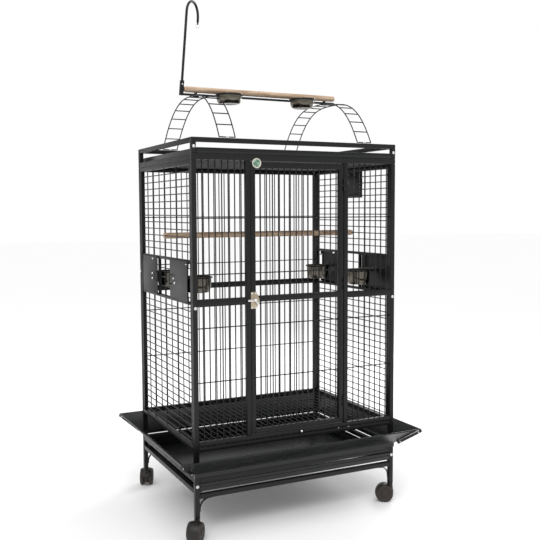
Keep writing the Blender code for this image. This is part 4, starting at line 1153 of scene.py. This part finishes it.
# toy hook
LEAN = Vector((math.sin(LEAN_A), 0, math.cos(LEAN_A)))
turn_v = Vector((math.cos(TURN_A), math.sin(TURN_A), 0))
across = (turn_v - LEAN * turn_v.dot(LEAN)).normalized()
BEND, STRAIGHT, TIP, ROD = 0.0543, 0.3421, 0.0200, 0.0055
sweep = math.pi - math.atan2(math.sin(LEAN_A) * math.cos(TURN_A), math.cos(LEAN_A))
path = [SOCKET + LEAN * s for s in (0.0125, 0.0800, 0.1700, 0.2600, STRAIGHT)]
centre = SOCKET + LEAN * STRAIGHT + across * BEND
for k in range(1, 31):
    a = sweep * k / 30
    path.append(centre + BEND * (-across * math.cos(a) + LEAN * math.sin(a)))
end_dir = (LEAN * math.cos(sweep) + across * math.sin(sweep)).normalized()
path.append(path[-1] + end_dir * TIP * 0.7)
path.append(path[-1] + end_dir * TIP * 0.3)
tip = path[-1]
radii = [ROD - 0.0001] * (len(path) - 1) + [ROD - 0.0014]
ex = (across - end_dir * across.dot(end_dir)).normalized()
ey = end_dir.cross(ex).normalized()
eye_frame = Matrix(((ex.x, ey.x, -end_dir.x, tip.x), (ex.y, ey.y, -end_dir.y, tip.y),
                    (ex.z, ey.z, -end_dir.z, tip.z), (0, 0, 0, 1)))
m = Mesh()
m.path(path, radii, 16)
# flattened end drilled for the ring
flat = eye_frame @ Matrix.Rotation(math.pi / 2, 4, 'X')
steps = 24
verts, faces = [], []
for y in (-0.0018, 0.0018):
    for k in range(steps):
        a = 2 * math.pi * k / steps
        verts.append(eye_frame @ Vector((0.0038 * math.cos(a), y, -0.0045 + 0.0038 * math.sin(a))))
    for k in range(steps):
        a = 2 * math.pi * k / steps
        verts.append(eye_frame @ Vector((0.0021 * math.cos(a), y, -0.0045 + 0.0021 * math.sin(a))))
for k in range(steps):
    j = (k + 1) % steps
    o0, i0, o1, i1 = 0, steps, 2 * steps, 3 * steps
    faces += [[o0 + k, o0 + j, i0 + j, i0 + k], [o1 + j, o1 + k, i1 + k, i1 + j],
              [o0 + j, o0 + k, o1 + k, o1 + j], [i0 + k, i0 + j, i1 + j, i1 + k]]
m.add(verts, faces)
m.box((-0.0036, 0.0036), (-0.0018, 0.0018), (-0.0022, 0.0030), 0.0006, 1, 0, eye_frame)
piece("hook_rod", m, [COAT], "toy_hook", ["toy_hook"])
eye = tip + end_dir * 0.0045
ring_mid = eye - Vector((0, 0, 0.0085))
u = ey.cross(Vector((0, 0, 1)))
ring_axis = u.normalized()
ra = Vector((0, 0, 1))
rb = ring_axis.cross(ra).normalized()
m = Mesh()
m.path([ring_mid + 0.0085 * (math.cos(a) * ra + math.sin(a) * rb)
        for a in (2 * math.pi * k / 32 for k in range(32))], 0.0010, 8, 0, closed=True)
piece("split_ring", m, [ZINC], "hook_ring", ["hook_ring"])


# -------------------------------------------------------------------- casters
def caster(word, sx, sy):
    w0, w1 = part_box(f"wheels_{word}")
    centre = (w0 + w1) / 2
    stem = Vector((sx * (HX - TUBE / 2), sy * (HY - TUBE / 2), 0))
    trail = centre - stem
    trail.z = 0
    back = trail.normalized()
    axle = Vector((0, 0, 1)).cross(-back).normalized()
    place = Matrix(((axle.x, back.x, 0, stem.x), (axle.y, back.y, 0, stem.y), (0, 0, 1, 0), (0, 0, 0, 1)))
    # own frame: X along the axle, Y the way the wheels trail, Z up
    R, T = 0.0370, trail.length
    axis = place @ Matrix.Translation((0, T, R)) @ Matrix.Rotation(math.pi / 2, 4, 'Y')
    m = Mesh()
    for s in (-1, 1):
        prof = [(0.0032, 0.0090), (0.0290, 0.0090), (0.0330, 0.0098), (R - 0.0016, 0.0112), (R, 0.0135),
                (R, 0.0245), (R - 0.0014, 0.0268), (R - 0.0040, 0.0282), (0.0300, 0.0286), (0.0290, 0.0278),
                (0.0262, 0.0262), (0.0150, 0.0262), (0.0138, 0.0276), (0.0118, 0.0292), (0.0060, 0.0298),
                (0.0, 0.0299), (0.0, 0.0270), (0.0032, 0.0200)]
        prof = [(r, s * h) for r, h in prof]
        m.lathe(prof[:16] + [(0.0, s * 0.0090)], axis, 48)
        # shallow spokes pressed in the disc
        for k in range(6):
            a = math.radians(60 * k + 15)
            c = Vector((math.cos(a) * 0.0206, math.sin(a) * 0.0206, s * 0.0263))
            spoke = axis @ Matrix.Translation(c) @ Matrix.Rotation(a, 4, 'Z')
            m.box((-0.0062, 0.0062), (-0.0011, 0.0011), (-0.0009, 0.0009), 0.0006, 1, 0, spoke)
    m.lathe([(0, -0.0092), (0.0038, -0.0092), (0.0038, 0.0092), (0, 0.0092)], axis, 20)
    piece(f"wheel_pair_{word}", m, [TREAD], f"wheels_{word}", [f"wheels_{word}"])

    # body: cheek between the wheels, a hood over their top and a round neck
    m = Mesh()
    verts, faces = [], []
    arc = []
    n = 28
    for k in range(n + 1):
        a = math.radians(-28 + 196 * k / n)
        arc.append((math.cos(a), math.sin(a)))
    r_out, r_in = 0.0402, 0.0384
    rows = 10
    for layer, rr in ((0, r_out), (1, r_in)):
        for c, s in arc:
            for j in range(rows + 1):
                x = -0.0215 + 0.0430 * j / rows
                crown = rr - 0.0030 * (2 * j / rows - 1) ** 4
                verts.append(place @ Vector((x, T - crown * c * -1.0, R + crown * s)))
    w = rows + 1
    off = (n + 1) * w
    for k in range(n):
        for j in range(rows):
            a = k * w + j
            faces.append([a, a + 1, a + w + 1, a + w])
            faces.append([off + a + w, off + a + w + 1, off + a + 1, off + a])
    for k in range(n):
        a, b = k * w, k * w + rows
        faces.append([a, a + w, off + a + w, off + a])
        faces.append([b + w, b, off + b, off + b + w])
    for j in range(rows):
        a, b = j, n * w + j
        faces.append([a + 1, a, off + a, off + a + 1])
        faces.append([b, b + 1, off + b + 1, off + b])
    m.add(verts, faces)
    prof2 = []
    for k in range(25):
        a = math.radians(-60 + 270 * k / 24)
        prof2.append((0.0388 * math.cos(a), 0.0388 * math.sin(a)))
    cheek = place @ Matrix.Translation((0, T, R)) @ Matrix(((0, 0, 1, 0), (1, 0, 0, 0), (0, 1, 0, 0), (0, 0, 0, 1)))
    m.prism([(p[0] * 0.985, p[1] * 0.985) for p in prof2], cheek, -0.0072, 0.0072, 0.0)
    m.lathe([(0, 0.0776), (0.0102, 0.0776), (0.0112, 0.0768), (0.0112, 0.0720), (0.0125, 0.0640),
             (0.0125, 0.0480), (0.0090, 0.0380), (0, 0.0380)], place, 28)
    piece(f"caster_body_{word}", m, [HOOD], f"caster_{word}", [f"caster_{word}"])


for word, sx, sy in (("front_left", -1, -1), ("back_left", -1, 1), ("front_right", 1, -1), ("back_right", 1, 1)):
    caster(word, sx, sy)

# ---------------------------------------------------------------- frame bolts
m = Mesh()
for sx in (-1, 1):
    x = sx * (HX - TUBE / 2)
    for sy in (-1, 1):
        for z in (0.2065, 0.8950, 1.5038):
            m.bolt((x, sy * HY, z), (0, sy, 0), 0.0048, 0.0030)
m.bolt((-HX, HY - TUBE / 2, 0.9950), (-1, 0, 0), 0.0048, 0.0030)
piece("frame_bolts", m, [ZINC], "cage")

# ------------------------------------------------------- floor, light, camera
me = bpy.data.meshes.new("studio_floor")
me.from_pydata([(-30, -30, 0), (30, -30, 0), (30, 30, 0), (-30, 30, 0)], [], [(0, 1, 2, 3)])
floor = bpy.data.objects.new("studio_floor", me)
scene.collection.objects.link(floor)
fm = Nodes("studio_floor_paint")
fm.out(Base_Color=fm.mix(fm.noise(0.8, 2.0), (0.93, 0.93, 0.93), (0.95, 0.95, 0.95)), Roughness=0.9,
       Specular_IOR_Level=0.1)
for node in fm.mat.node_tree.nodes:
    if node.type == 'BSDF_PRINCIPLED':
        node.inputs["Emission Color"].default_value = (1.0, 1.0, 1.0, 1.0)
        node.inputs["Emission Strength"].default_value = 0.06
me.materials.append(fm.mat)

world = bpy.data.worlds.new("studio")
scene.world = world
world.use_nodes = True
wt = world.node_tree
seen = wt.nodes["Background"]
seen.inputs["Color"].default_value = (1.0, 1.0, 1.0, 1.0)
seen.inputs["Strength"].default_value = 1.0
dim = wt.nodes.new("ShaderNodeBackground")
dim.inputs["Color"].default_value = (1.0, 1.0, 1.0, 1.0)
dim.inputs["Strength"].default_value = 0.68
ray = wt.nodes.new("ShaderNodeLightPath")
both = wt.nodes.new("ShaderNodeMixShader")
wt.links.new(ray.outputs["Is Camera Ray"], both.inputs["Fac"])
wt.links.new(dim.outputs["Background"], both.inputs[1])
wt.links.new(seen.outputs["Background"], both.inputs[2])
wt.links.new(both.outputs["Shader"], wt.nodes["World Output"].inputs["Surface"])


def area(name, at, target, size, power, colour=(1, 1, 1)):
    data = bpy.data.lights.new(name, 'AREA')
    data.shape = 'RECTANGLE'
    data.size, data.size_y = size
    data.energy = power
    data.color = colour
    ob = bpy.data.objects.new(name, data)
    scene.collection.objects.link(ob)
    ob.location = at
    ob.rotation_euler = (Vector(target) - Vector(at)).to_track_quat('-Z', 'Y').to_euler()
    return ob


area("key_light", (-2.6, -3.2, 3.6), (0, 0, 0.9), (1.8, 1.8), 30)
area("top_light", (0.6, -0.6, 4.2), (0, 0, 1.0), (2.4, 2.4), 25)
area("rim_light", (3.2, 2.2, 2.4), (0, 0, 1.0), (1.6, 2.0), 60)
sun = bpy.data.objects.new("soft_sun", bpy.data.lights.new("soft_sun", 'SUN'))
sun.data.energy = 1.15
sun.data.angle = math.radians(40)
sun.rotation_euler = Vector((0.35, 0.55, -1.0)).to_track_quat('-Z', 'Y').to_euler()
scene.collection.objects.link(sun)

yaw, pitch, roll = 0.4557, 0.0745, -0.0044
fwd = Vector((math.sin(yaw) * math.cos(pitch), math.cos(yaw) * math.cos(pitch), -math.sin(pitch)))
right = Vector((math.cos(yaw), -math.sin(yaw), 0))
up = right.cross(fwd)
r2 = math.cos(roll) * right + math.sin(roll) * up
u2 = -math.sin(roll) * right + math.cos(roll) * up
cd = bpy.data.cameras.new("camera")
cd.sensor_width = 36
cd.lens = 786.99 / 540 * 36
cam = bpy.data.objects.new("camera", cd)
scene.collection.objects.link(cam)
cam.matrix_world = Matrix(((r2.x, u2.x, -fwd.x, -1.4922), (r2.y, u2.y, -fwd.y, -3.1089),
                           (r2.z, u2.z, -fwd.z, 1.2603), (0, 0, 0, 1)))
scene.camera = cam
scene.view_settings.view_transform = 'Standard'

bpy.context.view_layer.update()
